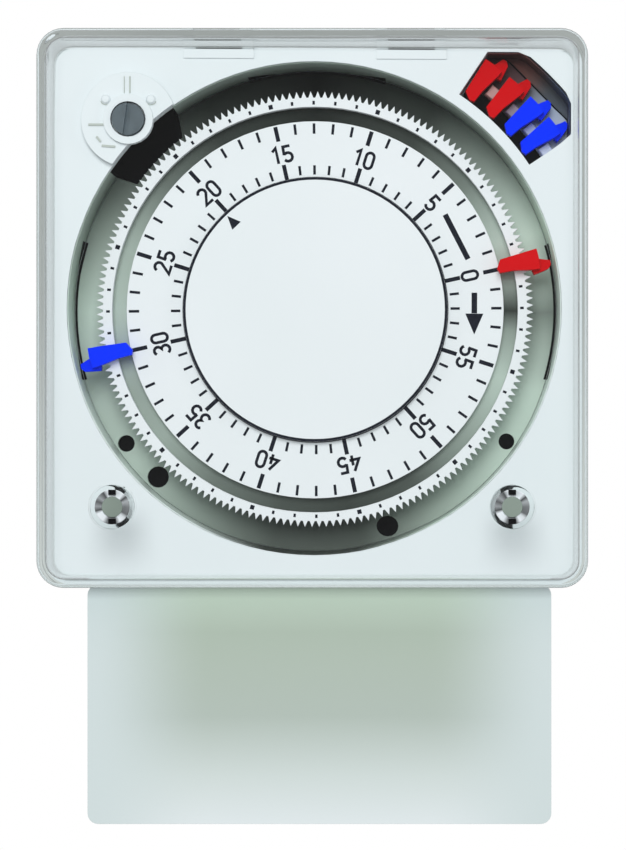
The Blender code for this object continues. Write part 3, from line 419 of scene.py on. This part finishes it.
def fan(nodes, light, tint, centre=(0.0, 0.0)):
    """Colour by direction from a centre; a lightness is one for the tint."""
    apart = nodes.add("SeparateXYZ")
    nodes.link(nodes.place, apart.inputs["Vector"])
    offsets = []
    for axis, value in (("X", centre[0]), ("Z", centre[1])):
        offset = nodes.add("Math", operation="SUBTRACT")
        offset.inputs[1].default_value = value * MM
        nodes.link(apart.outputs[axis], offset.inputs[0])
        offsets.append(offset.outputs["Value"])
    angle = nodes.add("Math", operation="ARCTAN2")
    nodes.link(offsets[1], angle.inputs[0])
    nodes.link(offsets[0], angle.inputs[1])
    share = nodes.add("Math", operation="MULTIPLY_ADD")
    share.inputs[1].default_value = 1 / (2 * math.pi)
    share.inputs[2].default_value = 1.0
    nodes.link(angle.outputs["Value"], share.inputs[0])
    turn = nodes.add("Math", operation="FRACT")
    nodes.link(share.outputs["Value"], turn.inputs[0])
    stops = [(degrees / 360, value if isinstance(value, tuple) else scaled(tint, value))
             for degrees, value in light]
    stops.append((1.0, stops[0][1]))
    return nodes.shades(turn.outputs["Value"], *stops)


def spun_metal(name, light):
    """Spun dish: its grain runs round the dial's axis, and its base colour is a painted reflection that
    fans out from the centre.
    """
    nodes = Nodes(name)
    flat = nodes.add("VectorMath", operation="MULTIPLY")
    flat.inputs[1].default_value = (1.0, 0.0, 1.0)
    nodes.link(nodes.place, flat.inputs[0])
    radius = nodes.add("VectorMath", operation="LENGTH")
    nodes.link(flat.outputs["Vector"], radius.inputs[0])
    grooves = nodes.add("TexNoise", noise_dimensions="1D")
    grooves.inputs["Scale"].default_value = 9.0 / MM
    grooves.inputs["Detail"].default_value = 4.0
    nodes.link(radius.outputs["Value"], grooves.inputs["W"])
    surface = nodes.principled(Metallic=0.3, Roughness=0.42, Anisotropic=0.6, Specular_IOR_Level=0.1)
    # Base colour: painted reflection, light and dark by direction about the dial's axis
    nodes.link(fan(nodes, light, METAL_TINT), surface.inputs["Base Color"])
    nodes.link(nodes.range(grooves.outputs["Fac"], 0.34, 0.5), surface.inputs["Roughness"])
    nodes.link(nodes.bump(grooves.outputs["Fac"], 0.003), surface.inputs["Normal"])
    tangent = nodes.add("Tangent", direction_type="RADIAL", axis="Y")
    nodes.link(tangent.outputs["Tangent"], surface.inputs["Tangent"])
    return nodes.material


def shaded_plastic(name, light, tint=(1.0, 1.0, 1.0), roughness=0.3, centre=(0.0, 0.0)):
    """A glossy part with painted light and shade that change with the direction from a centre."""
    nodes = Nodes(name)
    surface = nodes.principled(Roughness=roughness, IOR=1.5, Specular_IOR_Level=0.2)
    nodes.link(fan(nodes, light, tint, centre), surface.inputs["Base Color"])
    fine = nodes.noise(3.0, detail=3)
    nodes.link(nodes.range(fine, roughness - 0.05, roughness + 0.08), surface.inputs["Roughness"])
    nodes.link(nodes.bump(fine, 0.01, edge=0.08), surface.inputs["Normal"])
    return nodes.material


# The cover's painted shadow of the hood above it, with lighter painted sides: its middle from bottom to
# top, its sides, and how far out the middle reaches
COVER_SHADE = ((0.0, (0.73, 0.79, 0.8)), (0.2, (0.62, 0.69, 0.67)), (0.45, (0.44, 0.51, 0.46)),
               (0.8, (0.42, 0.5, 0.42)), (0.93, (0.5, 0.6, 0.5)), (1.0, (0.6, 0.71, 0.6)))
COVER_SIDE = (0.62, 0.7, 0.7)
COVER_DARK_HALF, COVER_LIGHT_HALF = 20, 44


def cover_plastic():
    """The case's white with a painted soft shadow of the hood, darkest high in its middle."""
    nodes = Nodes("cover_plastic")
    surface = nodes.principled(Roughness=0.4, IOR=1.5)
    apart = nodes.add("SeparateXYZ")
    nodes.link(nodes.place, apart.inputs["Vector"])
    height = nodes.add("MapRange")
    height.inputs["From Min"].default_value = bottom("terminal_cover") * MM
    height.inputs["From Max"].default_value = top("terminal_cover") * MM
    nodes.link(apart.outputs["Z"], height.inputs["Value"])
    upright = nodes.shades(height.outputs["Result"], *COVER_SHADE)
    offset = nodes.add("Math", operation="ABSOLUTE")
    middle = nodes.add("Math", operation="SUBTRACT")
    middle.inputs[1].default_value = (left("terminal_cover") + right("terminal_cover")) / 2 * MM
    nodes.link(apart.outputs["X"], middle.inputs[0])
    nodes.link(middle.outputs["Value"], offset.inputs[0])
    side = nodes.add("MapRange", interpolation_type="SMOOTHSTEP")
    side.inputs["From Min"].default_value = COVER_DARK_HALF * MM
    side.inputs["From Max"].default_value = COVER_LIGHT_HALF * MM
    nodes.link(offset.outputs["Value"], side.inputs["Value"])
    blend = nodes.add("Mix", data_type="RGBA")
    nodes.link(side.outputs["Result"], blend.inputs["Factor"])
    nodes.link(upright, blend.inputs[6])
    blend.inputs[7].default_value = (*COVER_SIDE, 1)
    nodes.link(blend.outputs[2], surface.inputs["Base Color"])
    fine = nodes.noise(4.0, detail=2)
    nodes.link(nodes.range(fine, 0.35, 0.46), surface.inputs["Roughness"])
    nodes.link(nodes.bump(fine, 0.004, edge=0.12), surface.inputs["Normal"])
    return nodes.material


def clear_plastic():
    """Clear moulded plastic, which lets shadow and diffuse rays straight through."""
    nodes = Nodes("clear_plastic")
    surface = nodes.principled(Transmission_Weight=1.0, IOR=1.3, Roughness=0.01, Specular_IOR_Level=0.05)
    smear = nodes.noise(0.02, detail=3)
    nodes.link(nodes.shades(smear, (0.3, (0.96, 0.985, 0.98)), (0.7, (0.985, 0.995, 0.995))),
               surface.inputs["Base Color"])
    nodes.link(nodes.range(smear, 0.0, 0.02), surface.inputs["Roughness"])
    nodes.link(nodes.bump(smear, 0.003), surface.inputs["Normal"])
    through = nodes.add("BsdfTransparent")
    through.inputs["Color"].default_value = (0.97, 0.98, 0.98, 1)
    paths = nodes.add("LightPath")
    mix = nodes.add("MixShader")
    straight = nodes.add("Math", operation="MAXIMUM")
    nodes.link(paths.outputs["Is Shadow Ray"], straight.inputs[0])
    nodes.link(paths.outputs["Is Diffuse Ray"], straight.inputs[1])
    nodes.link(straight.outputs["Value"], mix.inputs["Fac"])
    nodes.link(surface.outputs["BSDF"], mix.inputs[1])
    nodes.link(through.outputs["BSDF"], mix.inputs[2])
    nodes.link(mix.outputs["Shader"], nodes.output.inputs["Surface"])
    return nodes.material


def ink():
    """Screen-printed black, slightly thinner in places."""
    nodes = Nodes("ink")
    surface = nodes.principled(Roughness=0.5, IOR=1.45, Specular_IOR_Level=0.1)
    cover = nodes.noise(2.5, detail=3)
    nodes.link(nodes.shades(cover, (0.35, (0.006, 0.008, 0.014)), (0.75, (0.02, 0.022, 0.035))),
               surface.inputs["Base Color"])
    nodes.link(nodes.bump(cover, 0.004), surface.inputs["Normal"])
    return nodes.material


FINISHES = {
    "case_white": moulded("case_white", (0.80, 0.845, 0.865), 0.38, grain=0.004, variation=0.012),
    "dial_white": moulded("dial_white", (0.84, 0.865, 0.885), 0.42, grain=0.003, variation=0.01,
                          edge=0.06),
    "clear_plastic": clear_plastic(),
    "dial_metal": spun_metal("dish_floor", FLOOR_LIGHT),
    "steel": metal("steel", (0.55, 0.56, 0.57), 0.35),
    "brass": metal("brass", (0.72, 0.52, 0.24), 0.3),
    "grey_plastic": moulded("grey_plastic", (0.09, 0.1, 0.105), 0.45, grain=0.01, variation=0.1),
    "black_plastic": moulded("black_plastic", (0.004, 0.004, 0.005), 0.5, grain=0.008,
                             variation=0.2, gloss=0.08),
    "red_plastic": moulded("red_plastic", (0.62, 0.003, 0.006), 0.4, grain=0.008,
                           variation=0.08, gloss=0.05),
    "blue_plastic": moulded("blue_plastic", (0.0, 0.03, 0.97), 0.4, grain=0.008,
                            variation=0.08, gloss=0.05),
}
INK_FINISH = ink()
# Base colours of the rack's floor, outer floor, wall and teeth: painted shade and painted reflections of
# the spare trippers
RACK_FLOOR_REFLECTION = shaded_plastic("rack_floor_painted_reflection", RACK_FLOOR_LIGHT)
RACK_SHADE = shaded_plastic("rack_shade", RACK_SHADE_LIGHT)
RACK_WALL_SHADE = shaded_plastic("rack_lining", RACK_WALL_SHADE_LIGHT)
RACK_TOOTH = shaded_plastic("rack_tooth", RACK_TOOTH_LIGHT)
OUTER_RIM_SHADE = shaded_plastic("outer_rim_painted_shade", OUTER_LINE_LIGHT, RIM_TINT, 0.5)
INNER_RIM_SHADE = shaded_plastic("inner_rim_painted_shade", INNER_LINE_LIGHT, RIM_TINT, 0.5)
# Grey of the raised signs: painted shade standing for their relief
SIGN_RELIEF_SHADE = moulded("sign_painted_relief_shade", (0.5, 0.54, 0.5), 0.45)
LOCK_GREEN = moulded("lock_green", (0.22, 0.27, 0.235), 0.25, grain=0.02, variation=0.25)
NODE_FINISHES = {
    "dial_plate": spun_metal("groove", GROOVE_LIGHT),
    "terminal_cover": cover_plastic(),
    "manual_switch_shaft": metal("driver_head", (0.42, 0.5, 0.55), 0.35),
}


def dress_nodes():
    """Every CAD node gets its slot's finish, welded faces and shading that is smooth round curves."""
    slots = {part["node"]: part["material_slot"] for part in frame["record"]["subparts"]}
    for name, node in NODES.items():
        node.data.materials.clear()
        node.data.materials.append(NODE_FINISHES.get(name, FINISHES[slots[name]]))
        node.data.attributes.remove(node.data.attributes["custom_normal"])
        node.data.shade_smooth()
        weld = node.modifiers.new("weld", "WELD")
        weld.merge_threshold = 0.001 * MM
        split = node.modifiers.new("crisp_edges", "EDGE_SPLIT")
        split.split_angle = math.radians(32)


# The dial

def draw_print(mesh, path, width, face, closed=False):
    """An inked line on a face."""
    draw(mesh, path, width, face - INK, face + INK, closed)


def marks(mesh, mark, face, long):
    """Radial marks: at every fifth minute if long, else at the others."""
    inner, outer, width = mark
    for index in range(MARKS):
        if (index % NUMBERED == 0) != long:
            continue
        angle = ZERO_MARK + index * MARK_STEP
        draw_print(mesh, [polar(inner, angle), polar(outer, angle)], width, face)


def digit(number):
    """Pen strokes of a digit, about 1.6 wide and 3 tall, centred on the origin: (path, closed) pairs."""
    if number == 0:
        return [(arc(0.76, 0, 180, 8, (0, 0.75)) + arc(0.76, 180, 360, 8, (0, -0.75)), True)]
    if number == 1:
        return [([(-0.45, 0.85), (0.3, 1.5), (0.3, -1.5)], False)]
    if number == 2:
        return [(arc(0.78, 165, -25, 9, (0, 0.74)) + [(-0.78, -1.45), (0.86, -1.45)], False)]
    if number == 3:
        upper, lower = arc(0.72, 150, -75, 8, (0, 0.76)), arc(0.8, 75, -150, 9, (0, -0.7))
        return [(upper + lower, False)]
    if number == 4:
        return [([(0.35, 1.5), (-0.85, -0.65), (0.95, -0.65)], False), ([(0.42, 0.4), (0.42, -1.5)], False)]
    return [([(0.72, 1.45), (-0.6, 1.45), (-0.66, 0.12)] + arc(0.82, 125, -150, 10, (0, -0.6)), False)]


def numbers(mesh):
    """Minutes from 0 to 55, their heads outwards."""
    for value in range(0, MARKS, NUMBERED):
        angle = math.radians(ZERO_MARK + value * MARK_STEP)
        outwards = Vector((math.cos(angle), math.sin(angle)))
        across = Vector((outwards.y, -outwards.x))
        digits = [int(character) for character in str(value)]
        for index, number in enumerate(digits):
            offset = (index - (len(digits) - 1) / 2) * NUMBER_SPACING
            for path, closed in digit(number):
                turned = [outwards * (NUMBER_RADIUS + y) + across * (x + offset) for x, y in path]
                draw_print(mesh, [tuple(point) for point in turned], NUMBER_STROKE, SCALE_FACE, closed)


def arrow(mesh):
    """Bar before the zero and arrow after it, for the way the dial turns."""
    bar_radius, bar_width, bar_angles = 30.3, 1.02, (ZERO_MARK + 23.9, ZERO_MARK + 5.9)
    draw_print(mesh, [polar(bar_radius, angle) for angle in bar_angles], bar_width, SCALE_FACE)
    x, start, neck, tip = 29.95, 3.3, -0.65, -4.6
    shaft_width, head_half = 1.06, 1.7
    draw_print(mesh, [(x, start), (x, neck + 0.05)], shaft_width, SCALE_FACE)
    head = [(x - head_half, neck), (x, tip), (x + head_half, neck)]
    slab(mesh, head, SCALE_FACE - INK, SCALE_FACE + INK)


def band(mesh, inner, outer, face):
    """A printed ring about the dial's axis."""
    lathe(mesh, [(inner, face - INK), (outer, face - INK), (outer, face + INK), (inner, face + INK)])


def scale_print(mesh):
    marks(mesh, OUTER_MARK, SCALE_FACE, long=False)
    marks(mesh, OUTER_LONG, SCALE_FACE, long=True)
    marks(mesh, INNER_MARK, SCALE_FACE, long=False)
    marks(mesh, INNER_LONG, SCALE_FACE, long=True)
    band(mesh, CENTRE_RADIUS - 0.4, CENTRE_RADIUS + 0.2, SCALE_FACE)
    numbers(mesh)
    arrow(mesh)


def ring_print(mesh):
    marks(mesh, RING_MARK, RING_FACE, long=False)
    marks(mesh, RING_LONG, RING_FACE, long=True)


def centre_print(mesh):
    """Black rim of the fixed centre disc, and the triangle that points at the switching point."""
    band(mesh, CENTRE_RADIUS - 0.5, CENTRE_RADIUS - 0.02, CENTRE_FACE)
    direction, half, tip, foot = 133.7, 2.9, 24.1, 21.6
    pointer = [polar(tip, direction), polar(foot, direction + half), polar(foot, direction - half)]
    slab(mesh, pointer, CENTRE_FACE - INK, CENTRE_FACE + INK)


# The metal dish

def slot_offset(angle):
    """Degrees from the middle of the nearest snap slot."""
    return min(abs((angle - centre + 180) % 360 - 180) for centre in SLOT_CENTRES)


def slot_top(angle):
    """Depth up to which the dish's wall is open at this angle."""
    offset = slot_offset(angle)
    if not SLOT_START < offset <= SLOT_HALF:
        return FLOOR + 0.05
    return FLOOR + 0.05 + SLOT_OPENING * (offset - SLOT_START) / (SLOT_HALF - SLOT_START)


def wall_piece(mesh, start, end, low, high, inner, outer, step=0.5):
    """Curved strip of wall between two angles; low and high give its edges at an angle."""
    count = round((end - start) / step)
    section = []
    for index in range(count + 1):
        angle = start + (end - start) * index / count
        foot, head = low(angle), high(angle)
        section.append([(*polar(inner, angle), foot), (*polar(outer, angle), foot),
                        (*polar(outer, angle), head), (*polar(inner, angle), head)])
    skin(mesh, section)


def dish_wall(mesh):
    """Upturned wall of the metal dish, open at the star wheel's window and at the snap slots."""
    inner, outer = RECESS_RADIUS - 0.2, RECESS_RADIUS - 0.03
    edges = [WINDOW_ANGLES[1]]
    for centre in (180.0, 360.0, 450.0):
        edges += [centre - SLOT_HALF, centre + SLOT_HALF]
    edges.append(360 + WINDOW_ANGLES[0])
    for start, end in zip(edges, edges[1:]):
        wall_piece(mesh, start + 0.001, end - 0.001, slot_top, lambda angle: PLATE - 0.5, inner, outer)


def slot_gaps(mesh):
    """Black pieces as painted shade in the gaps of the snap slots, under the dish's wall and along the
    floor's edge.
    """
    inner, outer = RECESS_RADIUS - 0.18, RECESS_RADIUS - 0.04
    for centre in SLOT_CENTRES:
        for start, end in ((-SLOT_HALF, -SLOT_START), (SLOT_START, SLOT_HALF)):
            wall_piece(mesh, centre + start + 0.01, centre + end - 0.01, lambda angle: FLOOR + 0.04,
                       lambda angle: slot_top(angle) + 0.05, inner, outer)
        wall_piece(mesh, centre - SLOT_HALF, centre + SLOT_HALF, lambda angle: FLOOR - 0.02,
                   lambda angle: FLOOR + 0.03, RECESS_RADIUS - 0.75, RECESS_RADIUS - 0.32)


def window_liner(mesh):
    """Black walls and floor of the opening that the star wheel turns in: painted shade of its deep inside.
    """
    start, end = WINDOW_ANGLES
    depth = front("star_carrier")
    inner, mouth, outer = 42.06, RECESS_RADIUS - 0.2, RECESS_RADIUS + 0.9
    outline = (arc(outer, start + 0.1, end - 0.1, 12) + [polar(mouth, end - 0.1)]
               + arc(inner, end - 1.56, start + 2.56, 12) + [polar(mouth, start + 0.1)])
    slab(mesh, outline, depth + 0.02, depth + 0.12)
    for angle in (start + 0.15, end - 0.15):
        wall_piece(mesh, angle - 0.1, angle + 0.1, lambda angle: depth, lambda angle: PLATE - 2.5,
                   RECESS_RADIUS + 0.05, RECESS_RADIUS + 2.9, 0.1)


def hole_backs(mesh):
    """Black discs inside the round holes of the dish's floor: painted shade of their deep inside."""
    for radius, angle, size in FLOOR_HOLES:
        slab(mesh, circle(size + 0.25, 32, polar(radius, angle)), FLOOR - 1.45, FLOOR - 1.25)


# The switch, the rack and the cover

def switch_domes(mesh):
    """Two raised domes beside the manual switch."""
    low = BEZEL_FACE
    profile = [(0.95, low), (0.9, low + 0.25), (0.6, low + 0.6), (0.15, low + 0.7)]
    for centre in DOMES:
        lathe(mesh, profile, centre, 20, solid=True)


def switch_signs(mesh):
    """Signs round the manual switch: bars above and beside it, arches over the domes, a bent bar."""
    x, y = SWITCH
    low, high = BEZEL_FACE, BEZEL_FACE + 0.25
    for across, width in ((-0.75, 0.16), (0.3, 0.28)):
        draw(mesh, [(x + across, y + 4.9), (x + across, y + 8.0)], width, low, high)
    draw(mesh, [(x - 7.4, y - 1.0), (x - 4.5, y - 1.0)], 0.42, low, high)
    for centre in DOMES:
        draw(mesh, arc(0.98, 200, 340, 8, centre), 0.2, low, low + 0.2)
    draw(mesh, [(x - 5.9, y - 3.2), (x - 5.1, y - 4.2)], 0.4, low, high)
    draw(mesh, [(x - 4.9, y - 4.9), (x - 2.4, y - 5.1)], 0.42, low, high)


def curve(radius):
    """Radius, at an angle, of an arc about the dial's axis."""
    return lambda angle: radius


def chord(distance):
    """Radius, at an angle, of a straight line across the pocket."""
    return lambda angle: distance / math.cos(math.radians(angle - RACK_DIAGONAL))


def rack_directions(reach, inset):
    """Angles across the rack's pocket, with those of the corners of its outline."""
    start, end = RACK_ANGLES[0] + inset, RACK_ANGLES[1] - inset
    corner = math.degrees(math.acos(RACK_EDGE / reach))
    count = 16
    angles = [start + (end - start) * index / count for index in range(count + 1)]
    return sorted(angles + [corner, 90 - corner])


def rack_reach(angle, radius, inset):
    """Radius at an angle, cut to an inset from the pocket's straight outer walls."""
    return min(radius, (RACK_EDGE - inset) / max(polar(1.0, angle)))


def rack_strip(mesh, inner, outer, low, high):
    """Strip across the rack's pocket; inner and outer give its radii at an angle."""
    section = []
    for angle in rack_directions(RACK_WALL, 0.35):
        far = rack_reach(angle, outer(angle), 0.35)
        near = min(inner(angle), far - 0.1)
        section.append([(*polar(near, angle), low), (*polar(far, angle), low),
                        (*polar(far, angle), high), (*polar(near, angle), high)])
    skin(mesh, section)


def rack_floor(mesh):
    rack_strip(mesh, curve(RACK_STEP), curve(RACK_WALL), RACK_BACK, RACK_BACK + 0.5)


def rack_channel(mesh):
    """Black channel that the spare trippers' feet stand in, its black a painted shade of its depth, and a
    thin line across the floor.
    """
    rack_strip(mesh, curve(RACK_START), curve(RACK_STEP - 0.01), RACK_BACK, RACK_BACK + 0.4)
    rack_strip(mesh, chord(RACK_LINE), chord(RACK_LINE + 0.25), RACK_BACK + 0.52, RACK_BACK + 0.7)


def rack_shade(mesh):
    """Darker floor between the line across the pocket and its outer wall: painted shade and painted
    reflections of the trippers.
    """
    low = RACK_BACK + 0.52
    rack_strip(mesh, chord(RACK_LINE + 0.3), curve(RACK_WALL - 0.5), low, low + 0.1)


def rack_lining(mesh):
    """Painted shade: dark strip on the pocket's outer wall, up to the plate."""
    low, high = RACK_BACK + 0.65, PLATE - 0.15
    radius = RACK_WALL - 0.3
    section = []
    for angle in rack_directions(radius, 0.3):
        reach = rack_reach(angle, radius, 0.15)
        section.append([(*polar(reach - 0.25, angle), low), (*polar(reach, angle), low),
                        (*polar(reach, angle), high), (*polar(reach - 0.25, angle), high)])
    skin(mesh, section)


def sector(span, middle, half):
    """Piece of a ring between two radii, so many degrees to each side of a direction."""
    start, end = middle - half, middle + half
    return arc(span[1], start, end, 2) + arc(span[0], end, start, 2)


def rack_teeth(mesh):
    """Teeth between the spare trippers, with sloping sides at their heads."""
    low, high = RACK_BACK + 0.4, RING_FACE + 0.2
    inner, outer = 51.7, 54.0
    for angle in RACK_TEETH:
        foot = sector((inner, outer), angle, 1.05)
        head = sector((inner + 0.2, outer - 0.2), angle, 0.85)
        skin(mesh, [ring_at(foot, low), ring_at(foot, high - 0.3), ring_at(head, high)])


def cover_sign(mesh):
    """Two nested raised squares, the sign for a doubly insulated case."""
    x, y = 36.55, -81.4
    for half, width in ((4.6, 0.5), (2.95, 0.45)):
        corners = [(x - half, y - half), (x + half, y - half), (x + half, y + half), (x - half, y + half)]
        draw(mesh, corners, width, COVER_FACE - 0.2, COVER_FACE - 0.02, closed=True)


# The hood

def hood_outline(inset):
    """The hood's outline, so far inside its outer walls."""
    return rounded(HOOD_LEFT + inset, HOOD_BOTTOM + inset, HOOD_RIGHT - inset, HOOD_TOP - inset,
                   max(HOOD_CORNER - inset, 0.4), steps=8)


def hood_rings(profile):
    return [ring_at(hood_outline(inset), depth) for inset, depth in profile]


def hood_shell(mesh):
    """Clear hood with round edges and a hollow inside, open at the back."""
    fillet, inner_fillet = 0.8, 0.5
    ceiling = HOOD_FACE - HOOD_GLAZING
    outside = [(0.0, HOOD_BACK)] + arc(fillet, 180, 90, 6, (fillet, HOOD_FACE - fillet))
    inside = arc(inner_fillet, 90, 180, 4, (HOOD_WALL + inner_fillet, ceiling - inner_fillet))
    inside.append((HOOD_WALL, HOOD_BACK))
    outer = add_loops(mesh, hood_rings(outside))
    inner = add_loops(mesh, hood_rings(inside))
    for loops in (outer, inner):
        for one, other in zip(loops, loops[1:]):
            join(mesh, one, other)
    mesh.faces.new(outer[-1])
    mesh.faces.new(inner[0])
    join(mesh, inner[-1], outer[0])


def lock_centre(node):
    return (left(node) + right(node)) / 2, (bottom(node) + top(node)) / 2


def lock_body(node):
    def make(mesh):
        """Round clear button with a hollow head, on a pin."""
        face, foot = front(node), back(node)
        lathe(mesh, [(0.3, face - 0.45), (1.75, face - 0.45), (2.0, face - 0.1), (2.25, face),
                     (3.6, face), (3.95, face - 0.15), (4.05, face - 0.45), (4.05, face - 1.15),
                     (2.2, face - 1.2), (2.2, foot + 0.1), (2.0, foot), (0.3, foot)],
              lock_centre(node), 48, solid=True)
    return make


def lock_core(node):
    def make(mesh):
        """Faceted core inside a clear lock, its colour painted glints and shade."""
        face = front(node)
        lathe(mesh, [(0.2, face - 1.1), (3.1, face - 1.1), (3.15, face - 0.5), (3.0, face - 0.4),
                     (2.4, face - 0.7), (2.1, face - 0.75), (1.95, face - 0.55), (1.7, face - 0.48),
                     (0.2, face - 0.46)], lock_centre(node), 48, solid=True)
    return make


def lock_cap(node):
    def make(mesh):
        """Bottom of the hollow in a lock's head."""
        face = front(node)
        slab(mesh, circle(1.9, 40, lock_centre(node)), face - 0.45, face - 0.4)
    return make


def lock_notches(node):
    def make(mesh):
        """Black slabs in the notches above and below the hollow, for a coin or a driver: painted shade of
        the notches.
        """
        face = front(node)
        x, y = lock_centre(node)
        half, near, far = 0.68, 2.2, 3.1
        for side in (-1, 1):
            low, high = sorted((y + side * near, y + side * far))
            outline = [(x - half, low), (x + half, low), (x + half, high), (x - half, high)]
            slab(mesh, outline, face - 0.72, face - 0.25)
    return make


def hood_line(mesh, start, end):
    """Thin line along the hood's rear edge, between two distances from its outside; its grey is painted
    shade and reflection of the clear wall seen edge-on.
    """
    low, high = HOOD_BACK + 0.02, HOOD_BACK + 0.3
    outer, inner = hood_outline(start), hood_outline(end)
    skin(mesh, [ring_at(outer, low), ring_at(inner, low), ring_at(inner, high), ring_at(outer, high)],
         around=True)


def hood_outer_line(mesh):
    hood_line(mesh, 0.04, 0.4)


def hood_inner_line(mesh):
    hood_line(mesh, HOOD_WALL - 0.3, HOOD_WALL - 0.04)


def hinge_covers(mesh):
    """Thin tabs of the hood that lie over the hinge's openings in the plate."""
    half, height = 6.6, 1.7
    for node in ("hinge_pin_left", "hinge_pin_right"):
        middle, low = (left(node) + right(node)) / 2, bottom(node) - 1.4
        outline = rounded(middle - half, low, middle + half, low + height, 0.2)
        slab(mesh, outline, PLATE + 0.03, PLATE + 0.27)


def make_hood():
    clear, black = FINISHES["clear_plastic"], FINISHES["black_plastic"]
    hood = build("hood_shell", hood_shell, clear, "hood", ["clear_hood"])
    head_radius, pin_radius = 4.35, 2.5
    for node, body in LOCKS.items():
        centre = lock_centre(node)
        carve(hood, lambda mesh: slab(mesh, circle(head_radius, 48, centre), HOOD_FACE - 1, HOOD_FACE + 1))
        carve(hood, lambda mesh: slab(mesh, circle(pin_radius, 32, centre), HOOD_FACE - 4, HOOD_FACE + 1))
        build(node + "_button", lock_body(node), clear, body, [node])
        painted_glints = shaded_plastic(node + "_painted_glints", LOCK_LIGHT, LOCK_TINT, 0.15, centre)
        build(node + "_core", lock_core(node), painted_glints, body)
        build(node + "_cap", lock_cap(node), LOCK_GREEN, body)
        build(node + "_notches", lock_notches(node), black, body)
    build("hinge_covers", hinge_covers, FINISHES["case_white"], "hood")
    build("hood_outer_line", hood_outer_line, OUTER_RIM_SHADE, "hood")
    build("hood_inner_line", hood_inner_line, INNER_RIM_SHADE, "hood")


def make_pieces():
    white, black = FINISHES["case_white"], FINISHES["black_plastic"]
    build("scale_print", scale_print, INK_FINISH, "dial")
    build("ring_print", ring_print, INK_FINISH, "dial")
    build("centre_print", centre_print, INK_FINISH, "housing")
    build("dish_wall", dish_wall, spun_metal("dish_wall", WALL_LIGHT), "housing")
    build("slot_gaps", slot_gaps, black, "housing")
    build("window_liner", window_liner, black, "housing")
    build("rack_channel", rack_channel, black, "housing", ["spare_rack"])
    build("rack_floor", rack_floor, RACK_FLOOR_REFLECTION, "housing")
    build("rack_shade", rack_shade, RACK_SHADE, "housing")
    build("rack_lining", rack_lining, RACK_WALL_SHADE, "housing")
    build("hole_backs", hole_backs, black, "housing")
    build("rack_teeth", rack_teeth, RACK_TOOTH, "housing")
    build("switch_domes", switch_domes, white, "housing")
    build("switch_signs", switch_signs, SIGN_RELIEF_SHADE, "housing")
    build("cover_sign", cover_sign, SIGN_RELIEF_SHADE, "cover")
    make_hood()


# Camera, lamps and backdrop

CAMERA = (9.2, -26.4, 560.0)
LENS, SHIFT = 117.0, (-0.0588, 0.0294)
BACKDROP = (1, 1, 1, 1)
LIGHT = (0.96, 0.985, 1, 1)
SKY_STRENGTH = 0.42
MIRRORED_STRENGTH = 0.32
# Lamps that point at the origin: place and size in metres, power in watts
LAMPS = {
    "key": ((-0.05, -1.2, 0.41), (0.6, 0.6), 10.5),
    "side_left": ((-0.9, -0.45, 0.05), (0.25, 0.9), 1.0),
    "side_right": ((0.9, -0.45, 0.05), (0.25, 0.9), 1.0),
}


def make_camera():
    lens = bpy.data.cameras.new("camera")
    lens.lens = LENS
    lens.shift_x, lens.shift_y = SHIFT
    lens.clip_end = 5.0
    camera = add_object("camera", lens)
    camera.location = at(*CAMERA)
    camera.rotation_euler = (math.radians(90), 0, 0)
    bpy.context.scene.camera = camera


def make_lamps():
    """Soft lamps; the key isn't mirrored in the hood or seen through it."""
    for name, (place, size, power) in LAMPS.items():
        data = bpy.data.lights.new(name, "AREA")
        data.shape = "RECTANGLE"
        data.size, data.size_y = size
        data.energy = power
        light = add_object(name, data)
        light.location = place
        light.rotation_euler = (-Vector(place)).to_track_quat("-Z", "Y").to_euler()
    key = bpy.data.objects["key"]
    key.visible_glossy = False
    key.visible_transmission = False


def make_world():
    """White backdrop, a softer white as light, and a dim one in reflections."""
    world = bpy.data.worlds.new("studio")
    world.use_nodes = True
    tree = world.node_tree
    tree.nodes.clear()
    output = tree.nodes.new("ShaderNodeOutputWorld")
    paths = tree.nodes.new("ShaderNodeLightPath")

    def background(colour, strength):
        node = tree.nodes.new("ShaderNodeBackground")
        node.inputs["Color"].default_value = colour
        node.inputs["Strength"].default_value = strength
        return node.outputs["Background"]

    def switch(ray, usual, special):
        node = tree.nodes.new("ShaderNodeMixShader")
        tree.links.new(paths.outputs[ray], node.inputs["Fac"])
        tree.links.new(usual, node.inputs[1])
        tree.links.new(special, node.inputs[2])
        return node.outputs["Shader"]

    sky = switch("Is Camera Ray", background(LIGHT, SKY_STRENGTH), background(BACKDROP, 1.0))
    shown = switch("Is Glossy Ray", sky, background(LIGHT, MIRRORED_STRENGTH))
    tree.links.new(shown, output.inputs["Surface"])
    bpy.context.scene.world = world
    bpy.context.scene.view_settings.view_transform = "Standard"


make_camera()
make_world()
make_lamps()
dress_nodes()
make_pieces()
